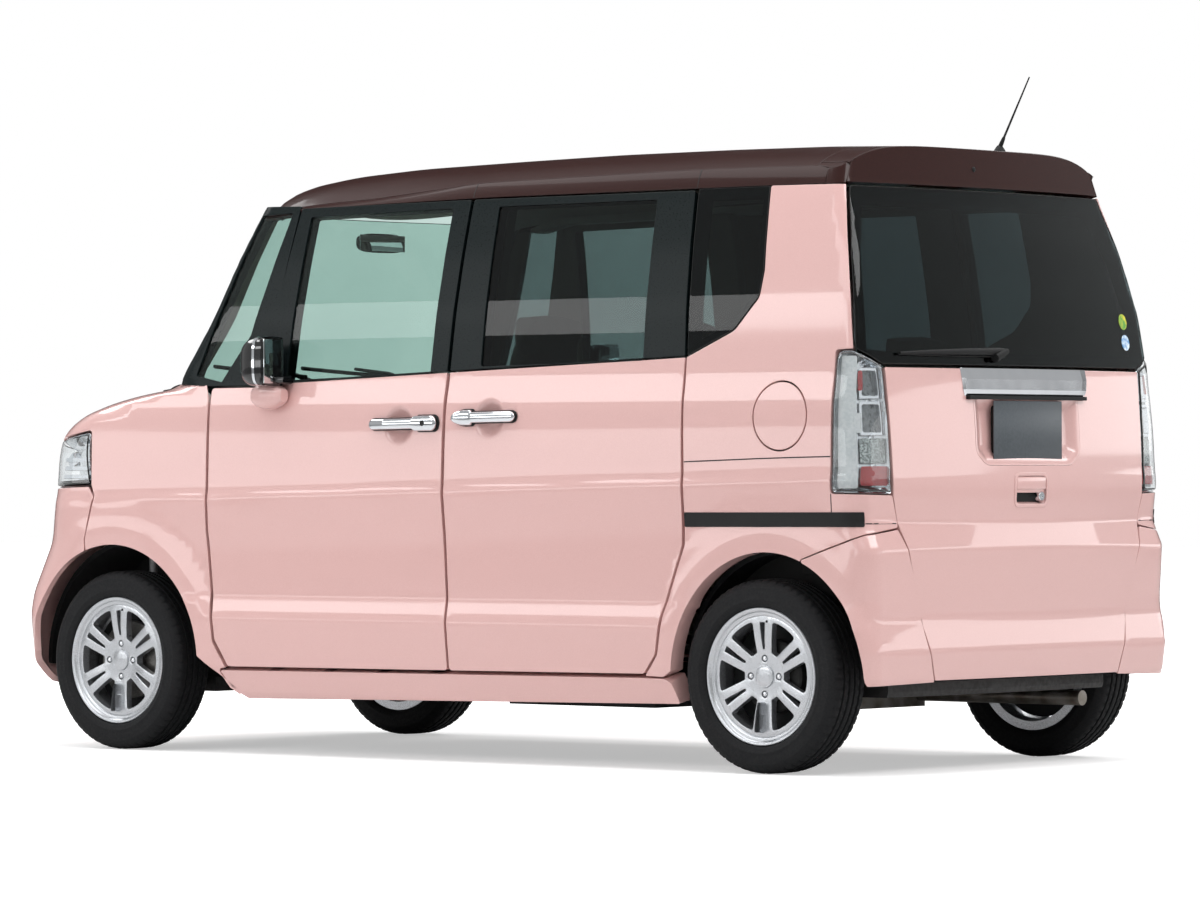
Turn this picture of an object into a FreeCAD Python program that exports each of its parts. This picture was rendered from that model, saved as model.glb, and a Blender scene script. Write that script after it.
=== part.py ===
"""Tall kei wagon with two hinged front doors, two sliding doors and a glass tailgate.

Frame: +X forward, +Y left, +Z up. Origin on the ground at mid-length, millimetres.
Every panel is cut from one hollow body: an outer loft less a lower and an upper cabin.
"""
import FreeCAD, Part
import math
import os
from FreeCAD import Placement, Rotation, Vector

doc = FreeCAD.newDocument("kei_wagon")

# ---------------------------------------------------------------- driving dimensions
DIMENSIONS = (
    # alias, millimetres or degrees, what it is
    ("bodyLength", 3395, "bumper to bumper"),
    ("bodyWidth", 1475, "over the door skins"),
    ("bodyHeight", 1780, "ground to the roof's crown"),
    ("wheelBase", 2520, "axle to axle"),
    ("frontAxle", 1246, "front axle ahead of mid-length"),
    ("trackWidth", 1290, "between the tyres' middle planes"),
    ("tyreRadius", 274, "tyre 155/65 R14 under load"),
    ("tyreWidth", 157, "tyre section"),
    ("rimRadius", 178, "bead seat of a 14 inch rim"),
    ("rimFlange", 194, "outer edge of the rim"),
    ("boltCircle", 100, "wheel nuts"),
    ("stubRadius", 20, "stub axle"),
    ("runningFit", 0.05, "radial clearance of shafts"),
    ("kingpinY", 545, "steering axis from the middle"),
    ("wellRadius", 360, "front arch opening"),
    ("rearWellRadius", 338, "rear arch opening"),
    ("wellHeight", 268, "front arch centre above ground"),
    ("rearWellHeight", 280, "rear arch centre above ground"),
    ("rearWellShift", 25, "rear arch centre behind the axle"),
    ("linerThick", 15, "wheel housing wall"),
    ("wallThick", 105, "doors and body below the belt"),
    ("frameThick", 48, "pillars and door frames above the belt"),
    ("roofDrop", 40, "roof and header thickness"),
    ("bonnetDrop", 35, "bonnet thickness"),
    ("panelGap", 7, "between moving panels and the body"),
    ("glassSink", 4, "glass below the outer skin"),
    ("glassThick", 5, "glass"),
    ("sillHeight", 175, "underside of the sills"),
    ("floorTop", 255, "cabin floor"),
    ("floorThick", 40, "floor pan"),
    ("beltHeight", 1112, "base of the windscreen pillar"),
    ("railHeight", 1656, "underside of the roof's side band"),
    ("seatY", 315, "front seats from the middle"),
    ("columnTilt", 24, "steering column above level"),
)
sheet = doc.addObject("Spreadsheet::Sheet", "dims")
for row, (alias, value, meaning) in enumerate(DIMENSIONS, start=1):
    sheet.set(f"A{row}", meaning)
    sheet.set(f"B{row}", str(value))
    sheet.setAlias(f"B{row}", alias)
doc.recompute()


def dim(alias):
    """Value of one cell of the sheet."""
    return float(sheet.get(alias))


HALF = dim("bodyLength") / 2
SIDE = dim("bodyWidth") / 2
FRONT_X = dim("frontAxle")
REAR_X = FRONT_X - dim("wheelBase")
WHEEL_Y = dim("trackWidth") / 2
WHEEL_Z = dim("tyreRadius")
OUTSIDE = SIDE + 60          # clear of the body on either side
WALL_IN = SIDE - dim("wallThick")

# ---------------------------------------------------------------- small builders


def bind(thing, expressions):
    for name, expression in expressions.items():
        thing.setExpression(name, str(expression))
    return thing


def place(thing, position, rotation=None):
    """Turn an object, then bind its position to expressions or numbers."""
    thing.Placement = Placement(Vector(), rotation or Rotation())
    base = dict(zip(("Placement.Base.x", "Placement.Base.y", "Placement.Base.z"), position))
    return bind(thing, base)


def box(name, corner, size):
    thing = doc.addObject("Part::Box", name)
    bind(thing, dict(zip(("Length", "Width", "Height"), size)))
    return place(thing, corner)


def span_box(name, x, y, z):
    """Box between two values on each axis."""
    low, high = zip(x, y, z)
    return box(name, low, [f"({b}) - ({a})" for a, b in zip(low, high)])


DIRECTIONS = {"x": Vector(1, 0, 0), "y": Vector(0, 1, 0), "z": Vector(0, 0, 1)}


def cylinder(name, start, radius, length, direction="z"):
    thing = doc.addObject("Part::Cylinder", name)
    bind(thing, {"Radius": radius, "Height": length})
    return place(thing, start, Rotation(DIRECTIONS["z"], DIRECTIONS[direction]))


def join(name, things):
    if len(things) == 1:
        return things[0]
    fuse = doc.addObject("Part::MultiFuse", name)
    fuse.Shapes = things
    return fuse


def cut(name, base, tools):
    """Take the tools away one after another."""
    for number, tool in enumerate(tools, start=1):
        step = doc.addObject("Part::Cut", f"{name}_less_{number}")
        step.Base = base
        step.Tool = tool
        base = step
    return base


def common(name, things):
    result = doc.addObject("Part::MultiCommon", name)
    result.Shapes = things
    return result


def mirrored(name, thing):
    copy = doc.addObject("Part::Mirroring", name)
    copy.Source = thing
    copy.Normal = Vector(0, 1, 0)
    return copy


VIEWS = {
    "side": Rotation(DIRECTIONS["x"], 90),                       # outline in x, z; runs to -y
    "rear": Rotation(DIRECTIONS["y"], DIRECTIONS["z"], DIRECTIONS["x"], "ZXY"),   # y, z; to +x
    "top": Rotation(),                                           # x, y; runs to +z
}


def outline(name, points, view, start):
    """Closed sketch of straight edges, seen from one side of the car."""
    sketch = doc.addObject("Sketcher::SketchObject", name)
    corners = [Vector(a, b, 0) for a, b in points]
    for first, second in zip(corners, corners[1:] + corners[:1]):
        sketch.addGeometry(Part.LineSegment(first, second))
    return place(sketch, start, VIEWS[view])


def prism(name, points, view, low, high, grow=None):
    """Straight block on an outline, between two planes of that view."""
    start = {"side": (0, high, 0), "rear": (low, 0, 0), "top": (0, 0, low)}[view]
    profile = outline(name + "_outline", points, view, start)
    if grow:
        wider = doc.addObject("Part::Offset2D", name + "_grown")
        wider.Source = profile
        wider.Join = "Intersection"
        bind(wider, {"Value": grow})
        profile = wider
    block = doc.addObject("Part::Extrusion", name)
    block.Base = profile
    block.DirMode = "Custom"
    block.Dir = {"side": Vector(0, -1, 0), "rear": Vector(1, 0, 0), "top": Vector(0, 0, 1)}[view]
    block.Solid = True
    return bind(block, {"LengthFwd": f"({high}) - ({low})"})


def both_sides(points):
    """Half outline at +y, from top to bottom, completed across the middle plane."""
    return points + [(-across, up) for across, up in reversed(points)]


NODES = {}


def node(name, thing):
    """Name a finished sub-part, which is also its file's name."""
    thing.Label = name
    NODES[name] = thing
    return thing


def left_and_right(name, thing):
    node(name + "_left", thing)
    node(name + "_right", mirrored(name + "_mirror", thing))


def pair(name, thing):
    node(name, join(name, [thing, mirrored(name + "_mirror", thing)]))


# ---------------------------------------------------------------- the hollow body
# Level sections, each of four arcs, four corners and two straight sides.
SECTION_COLUMNS = ("height", "half_width", "nose", "nose_bow", "nose_corner",
                   "tail", "tail_bow", "tail_corner")
SECTIONS = (
    (dim("sillHeight"), 700, 1600, 30, 110, -1672, 22, 60),
    (265, 731, 1680, 27, 118, -1697, 22, 60),
    (400, SIDE, 1694, 26, 120, -1692, 24, 62),
    (475, 722, HALF, 27, 125, -1693, 24, 62),
    (640, 728, 1606, 31, 150, -HALF, 28, 62),
    (790, SIDE, 1598, 31, 150, -1697, 46, 85),
    (960, 731, 1572, 32, 150, -1690, 46, 85),
    (1030, 725, 1495, 40, 160, -1684, 46, 80),
    (1080, 719, 1395, 60, 220, -1680, 46, 75),
    (1105, 717, 1260, 90, 280, -1678, 46, 70),
    (1122, 715, 1100, 85, 60, -1677, 46, 65),
    (1314, 694, 962, 80, 60, -1648, 46, 48),
    (1490, 664, 878, 75, 60, -1602, 44, 44),
    (1640, 632, 798, 68, 60, -1548, 42, 40),
    (1700, 612, 765, 66, 60, -1541, 42, 40),
    (1735, 578, 600, 70, 80, -1541, 45, 60),
    (1757, 480, 260, 60, 120, -1530, 50, 100),
    (1770, 330, -50, 60, 120, -1500, 50, 100),
    (dim("bodyHeight"), 150, -500, 30, 60, -1300, 30, 60),
)
LEVELS = [dict(zip(SECTION_COLUMNS, section)) for section in SECTIONS]
SMALLEST_CORNER = 12
DIAGONAL = 1 - math.sqrt(0.5)


def level_wire(level, inset, drop):
    """One level section, drawn in by inset and lowered by drop."""
    height = level["height"] - drop
    side = level["half_width"] - inset
    nose = level["nose"] - inset
    tail = level["tail"] + inset
    nose_side = nose - level["nose_bow"]
    tail_side = tail + level["tail_bow"]
    front = max(level["nose_corner"] - inset, SMALLEST_CORNER)
    back = max(level["tail_corner"] - inset, SMALLEST_CORNER)

    def at(x, y):
        return Vector(x, y, height)

    tail_arc = [at(tail_side, side - back), at(tail_side + back * DIAGONAL, side - back * DIAGONAL),
                at(tail_side + back, side)]
    nose_arc = [at(nose_side - front, side), at(nose_side - front * DIAGONAL, side - front * DIAGONAL),
                at(nose_side, side - front)]
    tail_low = [Vector(p.x, -p.y, p.z) for p in reversed(tail_arc)]
    nose_low = [Vector(p.x, -p.y, p.z) for p in reversed(nose_arc)]
    edges = [
        Part.Arc(*tail_arc),
        Part.LineSegment(tail_arc[2], nose_arc[0]),
        Part.Arc(*nose_arc),
        Part.Arc(nose_arc[2], at(nose, 0), nose_low[0]),
        Part.Arc(*nose_low),
        Part.LineSegment(nose_low[2], tail_low[0]),
        Part.Arc(*tail_low),
        Part.Arc(tail_low[2], at(tail, 0), tail_arc[0]),
    ]
    return Part.Wire([edge.toShape() for edge in edges])


def body_loft(name, inset=0.0, drop=0.0, lowest=0.0, highest=9999.0):
    chosen = [level for level in LEVELS if lowest <= level["height"] <= highest]
    loft = doc.addObject("Part::Feature", name)
    loft.Shape = Part.makeLoft([level_wire(level, inset, drop) for level in chosen], True, True)
    return loft


BELT_LEVEL = 1122
outer = body_loft("body_outer")
low_cabin = body_loft("low_cabin", dim("wallThick"), dim("bonnetDrop"), highest=BELT_LEVEL)
high_cabin = body_loft("high_cabin", dim("frameThick"), dim("roofDrop"), lowest=BELT_LEVEL)
shell = cut("shell", outer, [low_cabin, high_cabin])

glass_outer = body_loft("glass_outer", dim("glassSink"), 0, lowest=1030)
glass_inner = body_loft("glass_inner", dim("glassSink") + dim("glassThick"), 0, lowest=1030)
glass_band = cut("glass_band", glass_outer, [glass_inner])

# ---------------------------------------------------------------- outlines of the panels
FRONT_DOOR = ((838, 1106), (838, 1008), (843, 675), (827, 464), (815, 343), (765, 264),
              (-117, 270), (-99, 825), (-107, 1141), (-128, 1649), (545, 1649), (612, 1116),
              (640, 1106))
FRONT_DOOR_GLASS = ((500, 1615), (-62, 1622), (-40, 1140), (535, 1128))
SLIDING_DOOR = ((-143, 1649), (-118, 1141), (-107, 825), (-125, 270), (-850, 275), (-905, 330),
                (-925, 440), (-1008, 640), (-1005, 1173), (-974, 1649))
SLIDING_DOOR_GLASS = ((-244, 1620), (-838, 1622), (-850, 1166), (-239, 1157))
FRONT_QUARTER_GLASS = ((580, 1628), (705, 1628), (905, 1140), (790, 1128), (700, 1263))
REAR_QUARTER_GLASS = ((-1030, 1630), (-1242, 1630), (-1258, 1414), (-1244, 1330), (-1170, 1250),
                      (-1050, 1200))
FENDER = ((700, 165), (700, 257), (766, 257), (816, 338), (828, 464), (844, 675), (838, 1008),
          (838, 1112), (1640, 1112), (1640, 921), (1545, 938), (1336, 975), (1336, 811),
          (1318, 774), (1362, 642), (1362, 268), (1246, 165))
HEADLAMP = ((1336, 975), (1545, 938), (1750, 901), (1750, 795), (1346, 811))
TAIL_LAMP = ((-1750, 1182), (-1541, 1182), (-1541, 790), (-1750, 778))
REAR_CORNER = ((-1750, 245), (-1750, 690), (-1645, 690), (-1435, 620), (-1300, 400), (-1435, 245))
# half outlines across the car, y then height
TAILGATE = ((585, 1790), (592, 1660), (612, 1143), (608, 778), (586, 704), (565, 631),
            (471, 333), (448, 263))
REAR_WINDOW = ((545, 1630), (572, 1175))
WINDSCREEN = ((560, 1626), (628, 1130))
# plan half outline, x then y
BONNET = ((1122, 600), (1400, 592), (1520, 540), (1620, 430))

inner_side = 330
front_door_block = prism("front_door_block", FRONT_DOOR, "side", inner_side, OUTSIDE)
front_door_hole = prism("front_door_hole", FRONT_DOOR, "side", inner_side, OUTSIDE, "dims.panelGap")
sliding_block = prism("sliding_block", SLIDING_DOOR, "side", inner_side, OUTSIDE)
sliding_hole = prism("sliding_hole", SLIDING_DOOR, "side", inner_side, OUTSIDE, "dims.panelGap / 7")
door_window = prism("door_window", FRONT_DOOR_GLASS, "side", inner_side, OUTSIDE)
sliding_window = prism("sliding_window", SLIDING_DOOR_GLASS, "side", inner_side, OUTSIDE)
quarter_front = prism("quarter_front", FRONT_QUARTER_GLASS, "side", inner_side, OUTSIDE)
quarter_rear = prism("quarter_rear", REAR_QUARTER_GLASS, "side", inner_side, OUTSIDE)
fender_block = prism("fender_block", FENDER, "side", 400, OUTSIDE)
headlamp_block = prism("headlamp_block", HEADLAMP, "side", 400, OUTSIDE)
tail_lamp_block = prism("tail_lamp_block", TAIL_LAMP, "side", inner_side, OUTSIDE)
rear_corner_block = prism("rear_corner_block", REAR_CORNER, "side", inner_side, OUTSIDE)
TAILGATE_FRONT = -1400
tailgate_points = both_sides(list(TAILGATE))
tailgate_low = prism("tailgate_low", tailgate_points, "rear", -1800, TAILGATE_FRONT)
tailgate_hole = prism("tailgate_hole", tailgate_points, "rear", -1800,
                      f"{TAILGATE_FRONT} + dims.panelGap", "dims.panelGap")
rear_window = prism("rear_window", both_sides(list(REAR_WINDOW)), "rear", -1800, TAILGATE_FRONT)
windscreen_block = prism("windscreen_block", both_sides(list(WINDSCREEN)), "rear", 640, 1200)
bonnet_points = list(BONNET) + [(along, -across) for along, across in reversed(BONNET)]
bonnet_block = prism("bonnet_block", bonnet_points, "top", 982, 1200)
bonnet_hole = prism("bonnet_hole", bonnet_points, "top", "982 - dims.panelGap", 1200, "dims.panelGap")

# ---------------------------------------------------------------- wheel housings


def well(name, x, z, radius, inner_wall):
    """Space of one left wheel: the arch in the panel and the housing inside it."""
    arch = cylinder(name + "_arch", (x, WALL_IN, z), radius, OUTSIDE - WALL_IN, "y")
    inside = cylinder(name + "_inside", (x, inner_wall, z), f"{radius} + dims.linerThick",
                      WALL_IN - inner_wall, "y")
    return join(name, [arch, inside])


def housing(name, x, z, radius, inner_wall):
    """Curved wall and end wall of one left housing."""
    drum = cylinder(name + "_drum", (x, inner_wall, z), f"{radius} + dims.linerThick",
                    WALL_IN - inner_wall, "y")
    hollow = cylinder(name + "_hollow", (x, f"{inner_wall} + dims.linerThick", z), radius,
                      300, "y")
    below = span_box(name + "_below", (f"{x} - 500", f"{x} + 500"), (inner_wall - 5, SIDE),
                     (-200, "dims.floorTop"))
    return cut(name, drum, [hollow, below])


FRONT_WELL = ("dims.frontAxle", "dims.wellHeight", "dims.wellRadius", 380)
REAR_WELL = ("dims.frontAxle - dims.wheelBase - dims.rearWellShift", "dims.rearWellHeight",
             "dims.rearWellRadius", 520)
front_well = well("front_well", *FRONT_WELL)
rear_well = well("rear_well", *REAR_WELL)
both_wells = join("both_wells", [front_well, rear_well, mirrored("front_well_right", front_well),
                                 mirrored("rear_well_right", rear_well)])
front_housing = housing("front_housing", *FRONT_WELL)
rear_housing = housing("rear_housing", *REAR_WELL)

# strut tower: a closed column on top of the housing with a bearing bore for the strut's rod
STRUT_TOP = 790
tower = cylinder("tower", ("dims.frontAxle", "dims.kingpinY", 625), 60, STRUT_TOP - 625)
tower_bore = cylinder("tower_bore", ("dims.frontAxle", "dims.kingpinY", 600), 32,
                      STRUT_TOP - 20 - 600)
rod_bore = cylinder("rod_bore", ("dims.frontAxle", "dims.kingpinY", 700), "10 + dims.runningFit", 200)
front_liner = cut("front_liner", join("liner_and_tower", [front_housing, tower]),
                  [tower_bore, rod_bore])
axle_hole = span_box("axle_hole", (REAR_X - 60, REAR_X + 60), (505, 545), (200, 345))
rear_liner = cut("rear_liner", rear_housing, [axle_hole, tailgate_hole])
pair("wheel_housings", join("liners", [front_liner, rear_liner]))

# ---------------------------------------------------------------- body panels
flap_x, flap_z, flap_radius = -1357.5, 1003, 97
flap_hole = cylinder("flap_hole", (flap_x, 672, flap_z), f"{flap_radius} + dims.panelGap", 100, "y")
flap_disc = cylinder("flap_disc", (flap_x, 672, flap_z), flap_radius, 100, "y")

cowl_block = span_box("cowl_block", (1000, 1114), (-640, 640), (1035, 1118))
side_block = span_box("side_block", (-1800, 1100), (430, OUTSIDE),
                      ("dims.sillHeight - 5", "dims.railHeight"))
under_corner = span_box("under_corner", (-1800, -1300), (inner_side, OUTSIDE), (0, 245))
side_common = common("side_common", [shell, side_block])
side_cuts = [front_door_hole, sliding_hole, quarter_front, quarter_rear, fender_block, cowl_block,
             tail_lamp_block, rear_corner_block, under_corner, tailgate_hole, windscreen_block,
             front_well, rear_well]
side_right = cut("side_plain", side_common, side_cuts)
node("body_side_right", mirrored("body_side_mirror", side_right))
node("body_side_left", cut("body_side_left", side_right, [flap_hole]))

# the door's rear edge is stepped inside its skin, so that it swings clear of the sliding door
DOOR_STEP = ((-88, 255), (-88, 1141), (-108, 1660), (-170, 1660), (-170, 255))
step_block = prism("step_block", DOOR_STEP, "side", inner_side, OUTSIDE)
door_step = common("door_step", [body_loft("door_core", 12, 0, 175, 1700), step_block])
door_shell = common("door_shell", [shell, front_door_block])
left_and_right("front_door", cut("front_door", door_shell, [door_window, door_step]))
left_and_right("front_door_glass", common("front_door_glass", [glass_band, door_window]))

slide_shell = common("slide_shell", [shell, sliding_block])
left_and_right("sliding_door", cut("sliding_door", slide_shell, [sliding_window, rear_well]))
pair("sliding_door_glass", common("sliding_door_glass", [glass_band, sliding_window]))
pair("front_quarter_glass", common("front_quarter_glass", [glass_band, quarter_front]))
pair("rear_quarter_glass", common("rear_quarter_glass", [glass_band, quarter_rear]))

fender_shell = common("fender_shell", [shell, fender_block])
left_and_right("front_fender", cut("front_fender", fender_shell,
                                   [front_door_hole, bonnet_hole, front_well, cowl_block]))
pair("headlamps", common("headlamps", [shell, headlamp_block]))
tail_shell = common("tail_shell", [shell, tail_lamp_block])
pair("tail_lamps", cut("tail_lamps", tail_shell, [tailgate_hole]))
corner_shell = common("corner_shell", [shell, rear_corner_block])
pair("rear_bumper", cut("rear_bumper", corner_shell, [tailgate_hole, rear_well]))

roof_block = span_box("roof_block", (-1800, 1100), (-OUTSIDE, OUTSIDE), ("dims.railHeight", 1800))
roof_shell = common("roof_shell", [shell, roof_block])
node("roof", cut("roof", roof_shell, [tailgate_hole]))

node("windscreen", common("windscreen", [glass_band, windscreen_block]))
node("bonnet", common("bonnet", [shell, bonnet_block]))

# front bumper with its upper grille and lower intake; a flat bracket carries the number plate
front_block = span_box("front_block", (1100, 1800), (-OUTSIDE, OUTSIDE), (215, 975))
front_shell = common("front_shell", [shell, front_block])
upper_grille = span_box("upper_grille", (1400, 1800), (-330, 330), (835, 925))
lower_intake = span_box("lower_intake", (1400, 1800), (-400, 400), (300, 440))
fender_right_block = mirrored("fender_right_block", fender_block)
headlamp_right_block = mirrored("headlamp_right_block", headlamp_block)
front_well_right = mirrored("front_well_mirror", front_well)
bracket = span_box("bracket", (1590, 1662), (-160, 160), (560, 640))
plate_bores = [cylinder(f"plate_bore_{number}", (1500, across, 600), 3.5, 300, "x")
               for number, across in enumerate((-105, 105))]
tow_pocket = cylinder("tow_pocket", (1640, -520, 520), 24, 200, "x")
tow_bore = cylinder("tow_bore", (1600, -520, 520), 8, 100, "x")
bumper_skin = cut("bumper_skin", front_shell, [upper_grille, lower_intake, fender_block,
                                               fender_right_block, headlamp_block,
                                               headlamp_right_block, bonnet_hole, front_well,
                                               front_well_right])
bumper_and_bracket = join("bumper_and_bracket", [bumper_skin, bracket])
node("front_bumper", cut("front_bumper", bumper_and_bracket, plate_bores + [tow_pocket, tow_bore]))

# cowl under the windscreen with the firewall below it
cowl_top = common("cowl_top", [shell, cowl_block])
cowl_clear = cut("cowl_clear", cowl_top, [windscreen_block])
firewall = span_box("firewall", (1050, 1080), (-WALL_IN + 8, WALL_IN - 8), (255, 1050))
firewall_clear = cut("firewall_clear", firewall, [shell])
cowl_and_firewall = join("cowl_and_firewall", [cowl_clear, firewall_clear])
node("cowl", cut("cowl", cowl_and_firewall, [both_wells]))

# floor pan with the two front rails and the rear crossmember
floor = span_box("floor", (-1640, 1080), (-WALL_IN, WALL_IN),
                 ("dims.floorTop - dims.floorThick", "dims.floorTop"))
rail_left = span_box("rail_left", (1080, 1560), (305, 365), (215, 300))
rail_right = span_box("rail_right", (1080, 1560), (-365, -305), (215, 300))
AXLE_COVER = ((REAR_X - 78, REAR_X + 246), (-520, 520), ("dims.floorTop - dims.floorThick", 345))
AXLE_SPACE = ((REAR_X - 66, REAR_X + 234), (-520, 520), (0, 333))
floor_all = join("floor_all", [floor, rail_left, rail_right, span_box("axle_cover", *AXLE_COVER)])
axle_space = span_box("axle_space", *AXLE_SPACE)
node("floor_pan", cut("floor_pan", floor_all, [axle_space, both_wells, shell]))

# ---------------------------------------------------------------- tailgate
tailgate_shell = common("tailgate_shell", [shell, tailgate_low])
tailgate_cabin = span_box("tailgate_cabin", (-1480, -1300), (-OUTSIDE, OUTSIDE), (0, 1690))
plate_recess = span_box("plate_recess", (-1800, -1681), (-235, 235), (868, 1056))
handle_recess = span_box("handle_recess", (-1800, -1672), (-74, 74), (760, 832))
garnish_bar = span_box("garnish_bar", (-1694, -1670), (-300, 300), (1062, 1124))
node("number_plate", span_box("number_plate", (-1684, -1681), (-165, 165), (882, 1047)))
wiper_pivot = cylinder("wiper_pivot", (-1690, -60, 1150), 16, 30, "x")
wiper_arm = span_box("wiper_arm", (-1692, -1682), (-60, 330), (1142, 1158))
wiper = join("rear_wiper", [wiper_pivot, wiper_arm])
antenna_base = cylinder("antenna_base", (-1505, -111, 1756), 16, 26)
antenna_rod = place(doc.addObject("Part::Cylinder", "antenna_rod"), (-1505, -111, 1775),
                    Rotation(DIRECTIONS["y"], -28))
bind(antenna_rod, {"Radius": 3, "Height": 232})
antenna = join("antenna", [antenna_base, antenna_rod])
node("tailgate", cut("tailgate", tailgate_shell, [tailgate_cabin, rear_window, plate_recess,
                                                  handle_recess, wiper_pivot, antenna]))
node("tailgate_glass", common("tailgate_glass", [glass_band, rear_window]))
node("tailgate_garnish", cut("tailgate_garnish", garnish_bar, [outer]))
node("rear_wiper", wiper)
node("antenna", antenna)

# ---------------------------------------------------------------- fuel flap
FLAP_THICK = 12
flap_outer = common("flap_outer", [outer, flap_disc])
flap_inner = body_loft("flap_inner", FLAP_THICK, 0, 790, 1314)
node("fuel_flap", cut("fuel_flap", flap_outer, [flap_inner]))

# ---------------------------------------------------------------- bodies made of features


def plane_of(body, role):
    return next(item for item in body.Origin.OriginFeatures if item.Role == role)


def sketch_on(body, name, role, edges):
    sketch = body.newObject("Sketcher::SketchObject", name)
    sketch.AttachmentSupport = [(plane_of(body, role), "")]
    sketch.MapMode = "FlatFace"
    for edge in edges:
        sketch.addGeometry(edge)
    return sketch


def loop_edges(points):
    corners = [Vector(a, b, 0) for a, b in points]
    return [Part.LineSegment(a, b) for a, b in zip(corners, corners[1:] + corners[:1])]


def revolved(name, edges, axis="V_Axis"):
    """Full turn of a profile in the XY plane about the body's Y axis."""
    body = doc.addObject("PartDesign::Body", name)
    profile = sketch_on(body, name + "_profile", "XY_Plane", edges)
    turn = body.newObject("PartDesign::Revolution", name + "_turn")
    turn.Profile = profile
    turn.ReferenceAxis = (profile, [axis])
    turn.Angle = 360
    return body


def tyre_profile():
    """Bead, bulged sidewall and tread of one tyre, radius then width."""
    outer_r, bead = dim("tyreRadius"), dim("rimRadius")
    half = dim("tyreWidth") / 2
    over_flange, bead_half, foot_half = dim("rimFlange") + 0.5, half - 18, half - 9
    shoulder_half, tread_edge = half - 22, outer_r - 6
    points = [Vector(bead, bead_half, 0), Vector(over_flange, bead_half, 0),
              Vector(over_flange, foot_half, 0), Vector(tread_edge, shoulder_half + 10, 0),
              Vector(outer_r, shoulder_half, 0)]
    low = [Vector(p.x, -p.y, 0) for p in points]
    wide = (over_flange + outer_r) / 2
    return [
        Part.LineSegment(points[0], points[1]),
        Part.LineSegment(points[1], points[2]),
        Part.Arc(points[2], Vector(wide, half, 0), points[3]),
        Part.LineSegment(points[3], points[4]),
        Part.LineSegment(points[4], low[4]),
        Part.LineSegment(low[4], low[3]),
        Part.Arc(low[3], Vector(wide, -half, 0), low[2]),
        Part.LineSegment(low[2], low[1]),
        Part.LineSegment(low[1], low[0]),
        Part.LineSegment(low[0], points[0]),
    ]


HUB_FACE = 52            # outer face of the wheel disc, from the wheel's middle plane
DISC_THICK = 30


def rim_profile():
    """Barrel, two flanges and a dished disc with the stub's bore, radius then width."""
    seat, flange = dim("rimRadius"), dim("rimFlange")
    bore = dim("stubRadius") + dim("runningFit")
    wall = seat - 8
    points = ((bore, HUB_FACE), (60, HUB_FACE), (wall, HUB_FACE + 8), (wall, 68), (flange - 4, 68),
              (flange, 64), (flange, 61), (seat, 61), (seat, -61), (flange, -61), (flange, -66),
              (wall, -66), (wall, HUB_FACE - DISC_THICK + 8), (60, HUB_FACE - DISC_THICK),
              (bore, HUB_FACE - DISC_THICK))
    return loop_edges(points)


def rim_body(name):
    """Wheel with six openings between its double spokes and four nut holes."""
    body = revolved(name, rim_profile())
    opening = loop_edges(((78, -14), (150, -44), (158, 0), (150, 44), (78, 14)))
    window = sketch_on(body, name + "_opening", "XZ_Plane", opening)
    pocket = body.newObject("PartDesign::Pocket", name + "_window")
    pocket.Profile = window
    pocket.Type = "ThroughAll"
    pocket.Midplane = True
    windows = body.newObject("PartDesign::PolarPattern", name + "_windows")
    windows.Originals = [pocket]
    windows.Axis = (window, ["N_Axis"])
    windows.Angle = 360
    windows.Occurrences = 6
    body.Tip = windows
    nut = Part.Circle(Vector(0, dim("boltCircle") / 2, 0), Vector(0, 0, 1), 7)
    nut_sketch = sketch_on(body, name + "_nut", "XZ_Plane", [nut])
    hole = body.newObject("PartDesign::Pocket", name + "_nut_hole")
    hole.Profile = nut_sketch
    hole.Type = "ThroughAll"
    hole.Midplane = True
    holes = body.newObject("PartDesign::PolarPattern", name + "_nut_holes")
    holes.Originals = [hole]
    holes.Axis = (nut_sketch, ["N_Axis"])
    holes.Angle = 360
    holes.Occurrences = 4
    body.Tip = holes
    return body


HALF_TURN = Rotation(DIRECTIONS["z"], 180)
WHEELS = (
    # name, axle position, side
    ("front_left", FRONT_X, 1),
    ("front_right", FRONT_X, -1),
    ("rear_left", REAR_X, 1),
    ("rear_right", REAR_X, -1),
)
for wheel, axle, side in WHEELS:
    turned = Rotation() if side > 0 else HALF_TURN
    spot = Placement(Vector(axle, side * WHEEL_Y, WHEEL_Z), turned)
    tyre = revolved(wheel + "_tyre", tyre_profile())
    rim = rim_body(wheel + "_wheel")
    for thing in (tyre, rim):
        thing.Placement = spot
        node(thing.Name, thing)

# ---------------------------------------------------------------- axles and knuckles
stub_length = 90
stub = cylinder("stub", ("dims.frontAxle", 600, "dims.tyreRadius"), "dims.stubRadius",
                stub_length, "y")
upright = span_box("upright", (FRONT_X - 42, FRONT_X + 42), (530, 612), (225, 325))
strut = cylinder("strut", ("dims.frontAxle", "dims.kingpinY", 225), 16, 425)
rod = cylinder("rod", ("dims.frontAxle", "dims.kingpinY", 640), 10, 148)
ball_bore = cylinder("ball_bore", ("dims.frontAxle", "dims.kingpinY", 200),
                     "10 + dims.runningFit", 55)
left_and_right("steering_knuckle", cut("steering_knuckle", join("knuckle_solid",
                                                                [stub, upright, strut, rod]),
                                       [ball_bore]))

arm = span_box("arm", (FRONT_X - 30, FRONT_X + 30), (200, 572), (188, 212))
ball = cylinder("ball", ("dims.frontAxle", "dims.kingpinY", 200), 10, 48)
arm_right = mirrored("arm_right", arm)
ball_right = mirrored("ball_right", ball)
crossmember = span_box("crossmember", (FRONT_X - 90, FRONT_X + 90), (-366, 366), (170, 215))
node("front_suspension", join("front_suspension", [arm, ball, arm_right, ball_right, crossmember]))

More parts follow.
